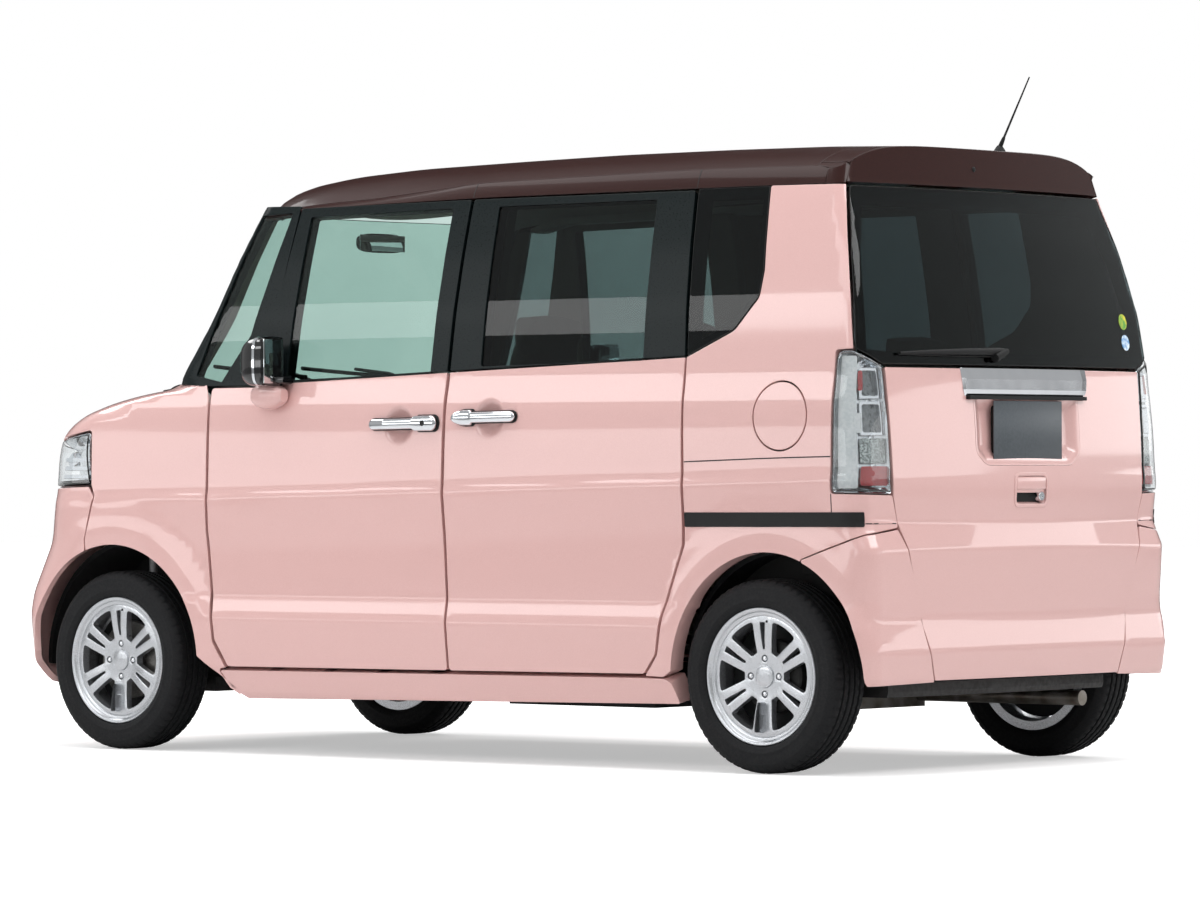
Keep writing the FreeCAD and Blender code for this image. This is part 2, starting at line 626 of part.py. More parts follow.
beam = cylinder("beam", (REAR_X + 70, -470, "dims.tyreRadius"), 34, 940, "y")
trailing = span_box("trailing", (REAR_X - 45, REAR_X + 228), (440, 500), (205, 300))
rear_plate = span_box("rear_plate", (REAR_X - 45, REAR_X + 45), (495, 606), (225, 325))
rear_stub = cylinder("rear_stub", (REAR_X, 600, "dims.tyreRadius"), "dims.stubRadius",
                     stub_length, "y")
half_axle = join("half_axle", [trailing, rear_plate, rear_stub])
node("rear_axle", join("rear_axle", [beam, half_axle, mirrored("half_axle_right", half_axle)]))

node("engine", span_box("engine", (1100, 1450), (-290, 290), (320, 800)))
node("fuel_tank", span_box("fuel_tank", (-620, -60), (-330, 380), (160, 215)))
silencer = span_box("silencer", (-1000, -700), (-420, 120), (150, 214))
pipe = cylinder("pipe", (-1590, -395, 188), 22, 2490, "x")
node("exhaust", join("exhaust", [silencer, pipe]))

# ---------------------------------------------------------------- cabin


def padded_profile(name, points, width, across):
    """Cushion of an even side profile, x then z, padded to a width and set off the middle."""
    body = doc.addObject("PartDesign::Body", name)
    profile = sketch_on(body, name + "_side", "XZ_Plane", loop_edges(points))
    pad = body.newObject("PartDesign::Pad", name + "_pad")
    pad.Profile = profile
    pad.Midplane = True
    bind(pad, {"Length": width})
    bind(body, {"Placement.Base.y": across})
    return body


SEAT_SIDE = ((20, 262), (520, 262), (540, 560), (520, 620), (110, 600), (-40, 1150), (-25, 1180),
             (-70, 1340), (-140, 1330), (-150, 1170), (-120, 1140), (-10, 560), (20, 540))
REAR_SEAT_SIDE = ((-1010, 262), (-480, 262), (-450, 560), (-470, 610), (-900, 590), (-1060, 1140),
                  (-1050, 1160), (-1080, 1290), (-1150, 1280), (-1140, 1130), (-1020, 570))
pair("front_seats", padded_profile("front_seat", SEAT_SIDE, 500, "dims.seatY"))
node("rear_seat", padded_profile("rear_seat", REAR_SEAT_SIDE, 1000, 0))

DASH_SIDE = ((1045, 640), (1045, 1060), (930, 1065), (760, 1040), (700, 960), (720, 800), (820, 640))
dash = padded_profile("dash", DASH_SIDE, 1200, 0)
column = doc.addObject("Part::Cylinder", "column")
bind(column, {"Radius": 24, "Height": 240})
TILT = dim("columnTilt")
WHEEL_CENTRE = Vector(560, -dim("seatY"), 985)
AIM = Rotation(DIRECTIONS["y"], 90 + TILT)          # local Z runs forward and down
column.Placement = Placement(WHEEL_CENTRE + AIM.multVec(Vector(0, 0, 45)), AIM)
node("dashboard", join("dashboard", [dash, column]))

mirror_head = span_box("mirror_head", (784, 806), (-110, 110), (1530, 1590))
mirror_stem = span_box("mirror_stem", (798, 824), (-8, 8), (1552, 1568))
node("interior_mirror", join("interior_mirror", [mirror_head, mirror_stem]))

ring = doc.addObject("Part::Torus", "ring")
bind(ring, {"Radius1": 178, "Radius2": 14})
hub = cylinder("hub", (0, 0, -8), 55, 48)
spoke_across = span_box("spoke_across", (-14, 14), (-172, 172), (-4, 12))
spoke_down = span_box("spoke_down", (0, 172), (-16, 16), (-4, 12))
wheel_group = join("wheel_group", [ring, hub, spoke_across, spoke_down])
wheel_group.Placement = Placement(WHEEL_CENTRE, AIM)
node("steering_wheel", wheel_group)

mirror_shell = span_box("mirror_shell", (520, 640), (735, 838), (1105, 1258))
mirror_foot = span_box("mirror_foot", (525, 590), (690, 745), (1108, 1150))
mirror_block = join("mirror_block", [mirror_shell, mirror_foot])
left_and_right("door_mirror", cut("door_mirror", mirror_block, [outer]))

# ---------------------------------------------------------------- checks and export
doc.recompute()
failed = [thing.Label for thing in doc.Objects if {"Invalid", "Error"} & set(thing.State)]
if failed:
    raise RuntimeError(f"did not recompute: {failed}")
for name, thing in NODES.items():
    if thing.Shape.isNull() or not thing.Shape.isValid():
        raise RuntimeError(f"{name} has no valid shape")

os.makedirs("parts", exist_ok=True)
for name, thing in NODES.items():
    thing.Shape.exportStep(f"parts/{name}.step")
    volume = thing.Shape.Volume / 1e6
    print(f"{name:24s} {len(thing.Shape.Solids)} solid(s) {volume:9.2f} litres")
print(len(NODES), "nodes")
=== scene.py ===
"""Looks of a tall two-tone kei wagon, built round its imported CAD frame.

Body shapes are worked out in millimetres and turned to metres when a mesh is made.
The body's skin is one surface: u runs backwards and forwards along the side and wraps round
the corners, height runs up. Every painted panel is an outline cut out of that skin.
"""
import math

import bmesh
import bpy
import numpy as np
from mathutils import Matrix, Vector
from mathutils.geometry import delaunay_2d_cdt


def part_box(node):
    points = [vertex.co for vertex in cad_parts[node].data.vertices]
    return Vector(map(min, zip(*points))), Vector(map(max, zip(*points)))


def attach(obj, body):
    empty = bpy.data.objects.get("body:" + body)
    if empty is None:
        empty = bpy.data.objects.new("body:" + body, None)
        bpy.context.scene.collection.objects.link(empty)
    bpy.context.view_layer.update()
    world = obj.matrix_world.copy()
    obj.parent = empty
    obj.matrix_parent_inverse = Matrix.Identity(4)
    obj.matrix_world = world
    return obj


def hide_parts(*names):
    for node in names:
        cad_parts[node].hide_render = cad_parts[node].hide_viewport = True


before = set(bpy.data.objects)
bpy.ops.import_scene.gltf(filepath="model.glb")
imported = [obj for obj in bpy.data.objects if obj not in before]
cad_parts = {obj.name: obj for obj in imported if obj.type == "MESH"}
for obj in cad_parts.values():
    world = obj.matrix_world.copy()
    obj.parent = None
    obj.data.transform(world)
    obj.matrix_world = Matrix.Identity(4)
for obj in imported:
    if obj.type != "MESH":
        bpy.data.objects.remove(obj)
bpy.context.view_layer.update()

MM = 0.001


# ---------------------------------------------------------------- places read from the frame
def middle(node):
    low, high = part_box(node)
    return (low + high) / 2 / MM


AXLES = {"front": middle("front_left_tyre"), "rear": middle("rear_left_tyre")}

# ---------------------------------------------------------------- the body's skin


def blend_profile(knots, radius):
    """Straight-line profile through (height, value) knots, its corners eased over a radius.

    radius is one number or (height, radius) knots of its own.
    """
    at = np.array([k[0] for k in knots], float)
    value = np.array([k[1] for k in knots], float)
    area = np.concatenate([[0], np.cumsum((value[1:] + value[:-1]) / 2 * np.diff(at))])
    if np.ndim(radius):
        radius_at, radius_value = zip(*radius)
    else:
        radius_at, radius_value = (0, 1), (radius, radius)

    def below(t):
        i = np.clip(np.searchsorted(at, t) - 1, 0, len(at) - 2)
        end = value[i] + (value[i + 1] - value[i]) * (t - at[i]) / (at[i + 1] - at[i])
        return area[i] + (value[i] + end) / 2 * (t - at[i])

    def evaluate(t):
        t = np.asarray(t, float)
        reach = np.interp(t, radius_at, radius_value)
        return (below(t + reach) - below(t - reach)) / (2 * reach)

    return evaluate


def step(t, low, high):
    """0 below low, 1 above high, eased between."""
    s = np.clip((t - low) / (high - low), 0, 1)
    return s * s * (3 - 2 * s)


SHOULDER = 790           # height of the shoulder crease at mid-door
LEDGE_TOP, LEDGE_LOW = 477, 410
half_width = blend_profile(
    ((150, 690), (178, 708), (250, 722), (262, 726), (LEDGE_LOW, 736.5), (LEDGE_TOP, 723),
     (640, 727), (SHOULDER, 736.8), (815, 732.2), (950, 731.0), (1040, 727.5), (1112, 715), (1314, 693),
     (1490, 662),
     (1640, 629), (1712, 606), (1790, 570)),
    ((0, 6), (300, 12), (400, 7), (500, 8), (600, 40), (760, 9), (800, 10), (830, 22), (900, 40),
     (1030, 30), (1110, 12), (1150, 40), (1640, 30)))
nose = blend_profile(
    ((150, 1560), (215, 1640), (265, 1680), (400, 1692), (475, 1696), (640, 1622), (790, 1598),
     (900, 1590), (960, 1574), (997, 1545), (1030, 1490), (1062, 1420), (1086, 1330),
     (1104, 1215), (1118, 1110), (1130, 1090), (1314, 962), (1490, 878), (1640, 798),
     (1712, 755), (1790, 700)),
    ((0, 10), (640, 30), (900, 26), (960, 22), (1080, 10), (1130, 8), (1300, 40)))
nose_bow = blend_profile(
    ((150, 26), (640, 31), (960, 33), (1030, 42), (1086, 66), (1118, 84), (1314, 80),
     (1640, 68), (1790, 66)), 12)
nose_corner = blend_profile(
    ((150, 110), (475, 125), (640, 150), (960, 152), (1030, 175), (1086, 250), (1104, 280),
     (1118, 120), (1135, 70), (1314, 60), (1790, 60)), 8)
tail = blend_profile(
    ((150, -1640), (263, -1690), (346, -1697), (435, -1684), (631, -1696.5), (704, -1689),
     (800, -1696.5), (960, -1690), (1143, -1676), (1314, -1648), (1490, -1602), (1640, -1548),
     (1700, -1541), (1790, -1530)),
    ((0, 8), (420, 8), (600, 7), (720, 8), (900, 50), (1600, 40)))
tail_bow = blend_profile(
    ((150, 18), (346, 18), (435, 22), (631, 24), (704, 44), (1143, 46), (1640, 42), (1790, 42)),
    ((0, 6), (700, 6), (800, 20), (1790, 20)))
tail_corner = blend_profile(
    ((150, 60), (620, 60), (710, 80), (1030, 80), (1143, 62), (1314, 48), (1790, 42)), 20)

ARCHES = (
    # centre along, centre up, flare half length, flare height, opening half length, height
    (1246, 268, 452, 507, 358, 358),
    (-1306, 270, 412, 536, 338, 350),
)
FLARE = 12.5             # how far the flare stands out of the side
LIP = 56                 # width of the lip that turns back in round each opening
LIP_TURN = 2.8           # how far the lip turns in


def flare(u, z):
    """Outward push of the two wheel-arch flares."""
    push = 0.0
    for along, up, long_half, high_half, open_long, open_high in ARCHES:
        du, dz = u - along, z - up
        reach = np.hypot(du / long_half, dz / high_half)
        lip = np.hypot(du / open_long, dz / open_high)
        share = np.clip((1 - reach) / np.maximum(lip - reach, 1e-6), 0, 1)
        target = np.maximum(737.0 - half_width(z), 0)
        fade = step(z, 215, 300)
        off = (lip - 1) * (open_long + open_high) / 2
        turn = LIP_TURN * np.clip(1 - off / LIP, 0, 1) * (share > 0)
        push = push + (np.minimum(target, FLARE) * (1 - (1 - share) ** 2.4) - turn) * fade
    return push


def shoulder_rise(u):
    """The shoulder crease climbs towards the tail."""
    return 12 - (u + 1005) * 0.0228


def section(z, leaned=None):
    """Section of the body at one height: where its straight side and its corners end."""
    w = half_width(z if leaned is None else leaned)
    front, back = nose_corner(z), tail_corner(z)
    front_bow, back_bow = nose_bow(z), tail_bow(z)
    front_turn = np.pi / 2 - np.arctan(2 * front_bow / (w - front))
    back_turn = np.pi / 2 - np.arctan(2 * back_bow / (w - back))
    front_end = w - front * (1 - np.cos(front_turn))
    back_end = w - back * (1 - np.cos(back_turn))
    side_front = nose(z) - front_bow - front * np.sin(front_turn)
    side_back = tail(z) + back_bow + back * np.sin(back_turn)
    return w, front, front_turn, front_end, side_front, back, back_turn, back_end, side_back


TAIL_U, NOSE_U = -1600, 1400      # the crease stops climbing beyond these


def lean(u, z):
    """Height whose half width a place takes, which lets the shoulder crease climb."""
    crease_zone = step(z, 560, 700) * (1 - step(z, 900, 1080))
    return z + (shoulder_rise(0) - shoulder_rise(np.clip(u, TAIL_U, NOSE_U))) * crease_zone


def skin(u, z):
    """Left half of the body's skin: u equals x along the side and wraps round both corners."""
    u, z = np.broadcast_arrays(np.asarray(u, float), np.asarray(z, float))
    w, front, front_turn, front_end, side_front, back, back_turn, back_end, side_back = section(z, lean(u, z))
    x = np.clip(u, side_back, side_front)
    y = w + 0.0
    # tail corner, then the bowed tail
    s = np.maximum(side_back - u, 0)
    turn = np.minimum(s / back, back_turn)
    x = x - back * np.sin(turn)
    y = y - back * (1 - np.cos(turn))
    over = np.maximum(s - back * back_turn, 0)
    y_tail = back_end - over
    x = np.where(over > 0, tail(z) + tail_bow(z) * (y_tail / back_end) ** 2, x)
    y = np.where(over > 0, y_tail, y)
    # nose corner, then the bowed nose
    s = np.maximum(u - side_front, 0)
    turn = np.minimum(s / front, front_turn)
    x = x + front * np.sin(turn)
    y = y - front * (1 - np.cos(turn))
    over = np.maximum(s - front * front_turn, 0)
    y_nose = front_end - over
    x = np.where(over > 0, nose(z) - nose_bow(z) * (y_nose / front_end) ** 2, x)
    y = np.where(over > 0, y_nose, y)
    y = y + flare(u, z) * (1 - step(side_back - u, -60, 40)) * (1 - step(u - side_front, -60, 60))
    return np.stack([x, y, z], -1)


def tail_centre(z):
    """u of the middle of the tail."""
    back, back_turn, back_end, side_back = section(z, lean(TAIL_U, z))[5:]
    return side_back - back * back_turn - back_end


def nose_centre(z):
    """u of the middle of the nose."""
    front, front_turn, front_end, side_front = section(z, lean(NOSE_U, z))[1:5]
    return side_front + front * front_turn + front_end


def around_tail(a, z):
    """Whole tail as one surface: a is the way from the middle, to the left."""
    a, z = np.broadcast_arrays(np.asarray(a, float), np.asarray(z, float))
    place = skin(tail_centre(z) + np.abs(a), z)
    place[..., 1] *= np.where(a < 0, -1, 1)
    return place


def around_nose(a, z):
    """Whole nose as one surface: a is the way from the middle, to the left."""
    a, z = np.broadcast_arrays(np.asarray(a, float), np.asarray(z, float))
    place = skin(nose_centre(z) - np.abs(a), z)
    place[..., 1] *= np.where(a < 0, -1, 1)
    return place


def u_at(z, x=None, y=None, end="rear"):
    """u of a point of the skin given by its height and its x on a corner, or its y past it."""
    leaned = lean(TAIL_U if end == "rear" else NOSE_U, float(z))
    w, front, front_turn, front_end, side_front, back, back_turn, back_end, side_back = section(
        float(z), leaned)
    if end == "rear":
        if y is not None and y < back_end:
            return float(side_back - back * back_turn - (back_end - y))
        if y is not None:
            return float(side_back - back * math.acos(max(1 - (w - y) / back, -1)))
        if x >= side_back:
            return float(x)
        return float(side_back - back * math.asin(min((side_back - x) / back, 1)))
    if y is not None and y < front_end:
        return float(side_front + front * front_turn + (front_end - y))
    if y is not None:
        return float(side_front + front * math.acos(max(1 - (w - y) / front, -1)))
    if x <= side_front:
        return float(x)
    return float(side_front + front * math.asin(min((x - side_front) / front, 1)))


# ---------------------------------------------------------------- outlines


def rounded(points, radius=0.0):
    """Closed outline with each corner (a, b, radius) turned into an arc of short steps."""
    points = [p for p, q in zip(points, [points[-1], *points]) if math.dist(p[:2], q[:2]) > 0.05]
    out = []
    count = len(points)
    for i, point in enumerate(points):
        here = np.array(point[:2], float)
        r = point[2] if len(point) > 2 else radius
        before = np.array(points[i - 1][:2], float) - here
        after = np.array(points[(i + 1) % count][:2], float) - here
        length_before, length_after = np.hypot(*before), np.hypot(*after)
        before, after = before / length_before, after / length_after
        half = math.acos(max(-1.0, min(1.0, float(before @ after)))) / 2
        if r <= 0 or half > 1.52:
            out.append(here)
            continue
        cut = min(r / math.tan(half), 0.49 * length_before, 0.49 * length_after)
        r = cut * math.tan(half)
        first, last = here + before * cut, here + after * cut
        centre = here + (before + after) / np.hypot(*(before + after)) * (r / math.sin(half))
        a0, a1 = math.atan2(*(first - centre)[::-1]), math.atan2(*(last - centre)[::-1])
        sweep = (a1 - a0 + math.pi) % (2 * math.pi) - math.pi
        steps = max(2, int(abs(sweep) / 0.2) + 1)
        for k in range(steps + 1):
            angle = a0 + sweep * k / steps
            out.append(centre + r * np.array([math.cos(angle), math.sin(angle)]))
    return np.array(out)


def ring(along, up, long_half, high_half, start=0.0, end=360.0, steps=72):
    """Points of an ellipse from one angle to another, in degrees."""
    angles = np.radians(np.linspace(start, end, steps + 1))
    return np.stack([along + long_half * np.cos(angles), up + high_half * np.sin(angles)], -1)


def densified(outline, spacing):
    out = []
    for i, here in enumerate(outline):
        after = outline[(i + 1) % len(outline)]
        parts = max(1, int(np.hypot(*(after - here)) / spacing + 0.5))
        out += [here + (after - here) * k / parts for k in range(parts)]
    out = np.array(out)
    keep = np.hypot(*(out - np.roll(out, 1, 0)).T) > 0.2
    return out[keep]


def turned(outline, left=True):
    """Outline running with its inside on the left, or on the right for a hole."""
    a, b = outline, np.roll(outline, -1, 0)
    area = np.sum(a[:, 0] * b[:, 1] - a[:, 1] * b[:, 0])
    return outline if (area > 0) == left else outline[::-1]


def outward(outline):
    """Unit vectors pointing out of the material at each point."""
    before = outline - np.roll(outline, 1, 0)
    after = np.roll(outline, -1, 0) - outline
    before /= np.hypot(*before.T)[:, None] + 1e-9
    after /= np.hypot(*after.T)[:, None] + 1e-9
    side = np.stack([before[:, 1] + after[:, 1], -before[:, 0] - after[:, 0]], -1)
    length = np.hypot(*side.T)[:, None]
    lean = np.sqrt(np.maximum((1 + np.sum(before * after, 1)) / 2, 0.3))[:, None]
    return side / (length + 1e-9) / lean


def inside(points, outline):
    """Which points lie inside an outline."""
    x, y = points[:, 0][:, None], points[:, 1][:, None]
    a, b = outline, np.roll(outline, -1, 0)
    crosses = (a[:, 1] > y) != (b[:, 1] > y)
    slope = (b[:, 0] - a[:, 0]) / np.where(b[:, 1] == a[:, 1], 1e-9, b[:, 1] - a[:, 1])
    return (np.sum(crosses & (x < a[:, 0] + slope * (y - a[:, 1])), 1) % 2) == 1


def between(points, loops):
    """Which points lie inside the first outline and outside the others, which are its holes."""
    keep = inside(points, loops[0])
    for loop in loops[1:]:
        keep &= ~inside(points, loop)
    return keep


def filled(loops, grid, spacing):
    """Triangles between outlines: flat places, triangles, and the place of each border point.

    The grid's points are taken up where they lie inside and clear of the border.
    """
    grid = grid[between(grid, loops)]
    border = np.concatenate(loops)
    clear = np.ones(len(grid), bool)
    for start in range(0, len(border), 200):
        part = border[start:start + 200]
        gaps = np.hypot(grid[:, 0][:, None] - part[:, 0], grid[:, 1][:, None] - part[:, 1])
        clear &= gaps.min(1) > spacing * 0.3
    edges, start = [], 0
    for loop in loops:
        count = len(loop)
        edges += [(start + i, start + (i + 1) % count) for i in range(count)]
        start += count
    points = np.concatenate([border, grid[clear]])
    found = delaunay_2d_cdt([Vector(p) for p in points], edges, [], 0, 1e-6)
    flat = np.array([tuple(v) for v in found[0]])
    triangles = np.array([f for f in found[2] if len(f) == 3])
    place_of = {}
    for new, olds in enumerate(found[3]):
        for old in olds:
            place_of.setdefault(old, new)
    return flat, triangles[between(flat[triangles].mean(1), loops)], place_of


# ---------------------------------------------------------------- meshes


def new_object(name, verts, faces, body, materials, face_materials=None, normals=None):
    """Mesh object in metres from millimetre points, riding on a CAD body."""
    mesh = bpy.data.meshes.new(name)
    mesh.from_pydata((np.asarray(verts, float) * MM).tolist(), [], faces)
    for material in materials:
        mesh.materials.append(material)
    if face_materials is not None:
        mesh.polygons.foreach_set("material_index", np.asarray(face_materials, np.int32))
    mesh.polygons.foreach_set("use_smooth", np.ones(len(mesh.polygons), bool))
    if normals is not None:
        mesh.normals_split_custom_set(normals.tolist())
    mesh.update()
    thing = bpy.data.objects.new(name, mesh)
    bpy.context.scene.collection.objects.link(thing)
    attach(thing, body)
    return thing


CENTRE = np.array([0.0, 0.0, 850.0])


def frame_at(surface, points):
    """Places, outward normals and the two tangents of a surface at its (a, b) points."""
    h = 0.6
    a, b = points[:, 0], points[:, 1]
    place = surface(a, b)
    along = (surface(a + h, b) - surface(a - h, b)) / (2 * h)
    up = (surface(a, b + h) - surface(a, b - h)) / (2 * h)
    normal = np.cross(along, up)
    normal /= np.linalg.norm(normal, axis=1)[:, None] + 1e-12
    facing = np.sum(normal * (place - CENTRE), 1)
    sign = 1.0 if np.sum(facing) > 0 else -1.0
    return place, normal * sign, along, up


class Patch:
    """Vertices, faces, corner normals and face materials of one or more thick panels."""

    def __init__(self):
        self.verts, self.faces, self.normals, self.slots = [], [], [], []
        self.count = 0

    def add(self, surface, outline, holes=(), depth=14.0, spacing=24.0, rows=(), columns=(),
            sink=0.0, gap=2.4, edge=1.6, slots=(0, 0, 0), extra=()):
        loops = [turned(densified(np.asarray(outline), spacing * 0.6), True)]
        loops += [turned(densified(np.asarray(hole), spacing * 0.6), False) for hole in holes]
        outs = [outward(loop) for loop in loops]
        rims = [loop - out * gap for loop, out in zip(loops, outs)]
        faces_in = [rim - out * edge for rim, out in zip(rims, outs)]
        low, high = rims[0].min(0), rims[0].max(0)
        a = np.unique(np.concatenate([np.arange(low[0], high[0], spacing), columns]))
        b = np.unique(np.concatenate([np.arange(low[1], high[1], spacing), rows]))
        grid = np.concatenate([np.stack(np.meshgrid(a, b), -1).reshape(-1, 2), *extra])
        flat, triangles, place_of = filled(faces_in, grid, spacing)
        place, normal, along, up = frame_at(surface, flat)
        place = place - normal * sink
        base = len(flat)
        verts = [place]
        faces, corner_normals, slots_out = [], [], []
        flip = np.dot(np.cross(along[0], up[0]), normal[0]) < 0
        if flip:
            triangles = triangles[:, ::-1]
        for t in triangles:
            faces.append(tuple(int(i) for i in t))
            corner_normals += [normal[i] for i in t]
            slots_out.append(slots[0])
        back_of = {}
        next_index = base
        start = 0
        for rim, out in zip(rims, outs):
            count = len(rim)
            p, n, pa, pb = frame_at(surface, rim)
            away = pa * out[:, :1] + pb * out[:, 1:]
            away /= np.linalg.norm(away, axis=1)[:, None]
            levels = (sink + edge * 0.35, sink + edge * 1.3, sink + depth)
            rings = [p - n * level for level in levels]
            verts += rings
            first = [place_of[start + i] for i in range(count)]
            indices = [first] + [list(range(next_index + k * count, next_index + (k + 1) * count))
                                 for k in range(3)]
            half = n + away
            half /= np.linalg.norm(half, axis=1)[:, None]
            ring_normals = (n, half, away, away)
            for k in range(3):
                low_n, high_n = ring_normals[k], ring_normals[k + 1]
                for i in range(count):
                    j = (i + 1) % count
                    quad = [indices[k][i], indices[k + 1][i], indices[k + 1][j], indices[k][j]]
                    quad_n = [low_n[i], high_n[i], high_n[j], low_n[j]]
                    if flip:
                        quad, quad_n = quad[::-1], quad_n[::-1]
                    faces.append(tuple(quad))
                    corner_normals += quad_n
                    slots_out.append(slots[1])
            for i in range(count):
                back_of[first[i]] = indices[3][i]
            next_index += 3 * count
            start += count
        inner = [i for i in range(base) if i not in back_of]
        verts.append(place[inner] - normal[inner] * depth)
        for k, i in enumerate(inner):
            back_of[i] = next_index + k
        next_index += len(inner)
        for t in triangles:
            faces.append(tuple(back_of[int(i)] for i in t[::-1]))
            corner_normals += [-normal[i] for i in t[::-1]]
            slots_out.append(slots[2])
        verts = np.concatenate(verts)
        self.verts.append(verts)
        self.faces += [tuple(i + self.count for i in f) for f in faces]
        self.normals += corner_normals
        self.slots += slots_out
        self.count += next_index
        return self

    def make(self, name, body, materials, mirror=False):
        verts = np.concatenate(self.verts)
        normals = np.array(self.normals)
        faces = self.faces
        if mirror:
            verts = verts * (1, -1, 1)
            order, start = [], 0
            for face in faces:
                order += range(start + len(face) - 1, start - 1, -1)
                start += len(face)
            normals = normals[order] * (1, -1, 1)
            faces = [face[::-1] for face in faces]
        return new_object(name, verts, faces, body, materials, self.slots, normals)


def dense(middle_a, middle_b, half, spacing=6.0):
    """Square of closely set points for a patch to take up where it is pressed."""
    steps = np.arange(-half, half + 1, spacing)
    return np.stack(np.meshgrid(middle_a + steps, middle_b + steps), -1).reshape(-1, 2)


def both_sides(half):
    """Closed outline, the same on both sides of the middle, from its left half top to bottom."""
    left = [tuple(p) for p in half]
    right = [(-p[0], *p[1:]) for p in left[::-1]]
    return left + right


def sunk(surface, outline, deep, ramp):
    """A surface pressed in by a depth inside an outline, eased over a ramp."""
    loop = densified(rounded(outline), 8)
    after = np.roll(loop, -1, 0)

    def pressed(a, b):
        a, b = np.broadcast_arrays(np.asarray(a, float), np.asarray(b, float))
        points = np.stack([a.ravel(), b.ravel()], -1)
        away = np.full(len(points), 1e9)
        for p, q in zip(loop, after):
            t = np.clip(((points - p) @ (q - p)) / ((q - p) @ (q - p)), 0, 1)
            away = np.minimum(away, np.hypot(*(points - p - t[:, None] * (q - p)).T))
        away = np.where(inside(points, loop), away, 0).reshape(a.shape)
        place = surface(a, b)
        normal = np.cross(surface(a + 1, b) - place, surface(a, b + 1) - place)
        normal /= np.linalg.norm(normal, axis=-1)[..., None]
        normal *= np.sign(np.sum(normal * (place - CENTRE)))
        return place - normal * (deep * step(away, 0, ramp))[..., None]

    return pressed


# ---------------------------------------------------------------- the top of the body

BONNET_LOW = 930


def top(x, y):
    """Height of the body above a place in plan, ahead of the windscreen."""
    x, y = np.broadcast_arrays(np.asarray(x, float), np.abs(np.asarray(y, float)))
    low, high = np.full(x.shape, float(BONNET_LOW)), np.full(x.shape, 1135.0)
    for _ in range(22):
        mid = (low + high) / 2
        w, front, _, front_end, side_front = section(mid)[:5]
        reach = np.sqrt(np.maximum(1 - np.clip(1 - (w - y) / front, 0, 1) ** 2, 0))
        edge = np.where(y < front_end, nose(mid) - nose_bow(mid) * (y / front_end) ** 2,
                        side_front + front * reach)
        within = (x < edge) & (y < w)
        low, high = np.where(within, mid, low), np.where(within, high, mid)
    return low


def bonnet_top(x, y):
    x, y = np.broadcast_arrays(np.asarray(x, float), np.asarray(y, float))
    return np.stack([x, y, top(x, y)], -1)


FENDER_TURN = 1010       # height at which the fender's side becomes its top
SCUTTLE_TOP = 1117       # height at which the bonnet's line meets the windscreen


def fender_skin(u, b):
    """Fender: the skin up to its turn, then inward over the top, b going on in millimetres."""
    u, b = np.broadcast_arrays(np.asarray(u, float), np.asarray(b, float))
    side = skin(u, np.minimum(b, FENDER_TURN))
    h = 1.0
    foot = skin(u, FENDER_TURN + 0 * b)
    along = skin(u + h, FENDER_TURN + 0 * b) - skin(u - h, FENDER_TURN + 0 * b)
    inward = np.stack([along[..., 1], -along[..., 0]], -1)
    inward /= np.linalg.norm(inward, axis=-1)[..., None] + 1e-9
    inward *= np.where(inward[..., 1:] > 0, -1, 1)
    plan = foot[..., :2] + inward * np.maximum(b - FENDER_TURN, 0)[..., None]
    height = np.clip(top(plan[..., 0], plan[..., 1]), FENDER_TURN, SCUTTLE_TOP)
    over = np.stack([plan[..., 0], plan[..., 1], height], -1)
    return np.where((b > FENDER_TURN)[..., None], over, side)


def on_fender(x, y):
    """(u, b) of a plan place on the fender's top."""
    u = np.arange(700.0, 1760.0, 1.0)
    foot = skin(u, np.full(u.shape, float(FENDER_TURN)))
    away = np.hypot(foot[:, 0] - x, foot[:, 1] - y)
    nearest = int(np.argmin(away))
    return float(u[nearest]), FENDER_TURN + float(away[nearest])


ROOF_CROWN = blend_profile(
    ((-1600, 1762), (-1545, 1767), (-1267, 1776), (-904, 1779.5), (-500, 1779.5), (-147, 1773),
     (248, 1763), (490, 1748), (655, 1728), (735, 1706), (785, 1672), (830, 1600)), 40)
ROOF_EDGE = blend_profile(
    ((-1600, 1694), (-1545, 1697), (-978, 1701), (-147, 1688), (248, 1651), (490, 1620),
     (655, 1585), (750, 1531), (830, 1450)), 60)
ROOF_ROUND = blend_profile(((-1600, 5.8), (-500, 5.8), (-147, 6), (490, 8), (830, 8)), 60)
ROOF_HALF = 612          # half width at which the roof's edge height is reckoned


def roof_height(x, y):
    share = 1 - np.minimum(np.abs(y) / ROOF_HALF, 1) ** ROOF_ROUND(x)
    return ROOF_EDGE(x) + (ROOF_CROWN(x) - ROOF_EDGE(x)) * share


def roof_top(x, y):
    x, y = np.broadcast_arrays(np.asarray(x, float), np.asarray(y, float))
    return np.stack([x, y, roof_height(x, y)], -1)


BAND_LOW = blend_profile(((-1600, 1654), (-200, 1652), (490, 1641), (715, 1629), (800, 1622)), 20)
BAND_HIGH = blend_profile(((-1600, 602), (250, 602), (490, 588), (640, 574), (720, 560), (800, 545)), 40)
BAND = 60                # width that the roof side band is given in its own outline


def roof_side(x, b):
    """Band between the top of the windows (b 0) and the edge of the crown (b 60)."""
    x, b = np.broadcast_arrays(np.asarray(x, float), np.asarray(b, float))
    foot = skin(x, BAND_LOW(x))
    head = np.stack([x, BAND_HIGH(x), roof_height(x, BAND_HIGH(x))], -1)
    share = (b / BAND)[..., None]
    bulge = 4 * share * (1 - share) * 3.0
    place = foot * (1 - share) + head * share
    place[..., 1:] += bulge * (0.8, 0.6)
    return place


# ---------------------------------------------------------------- materials


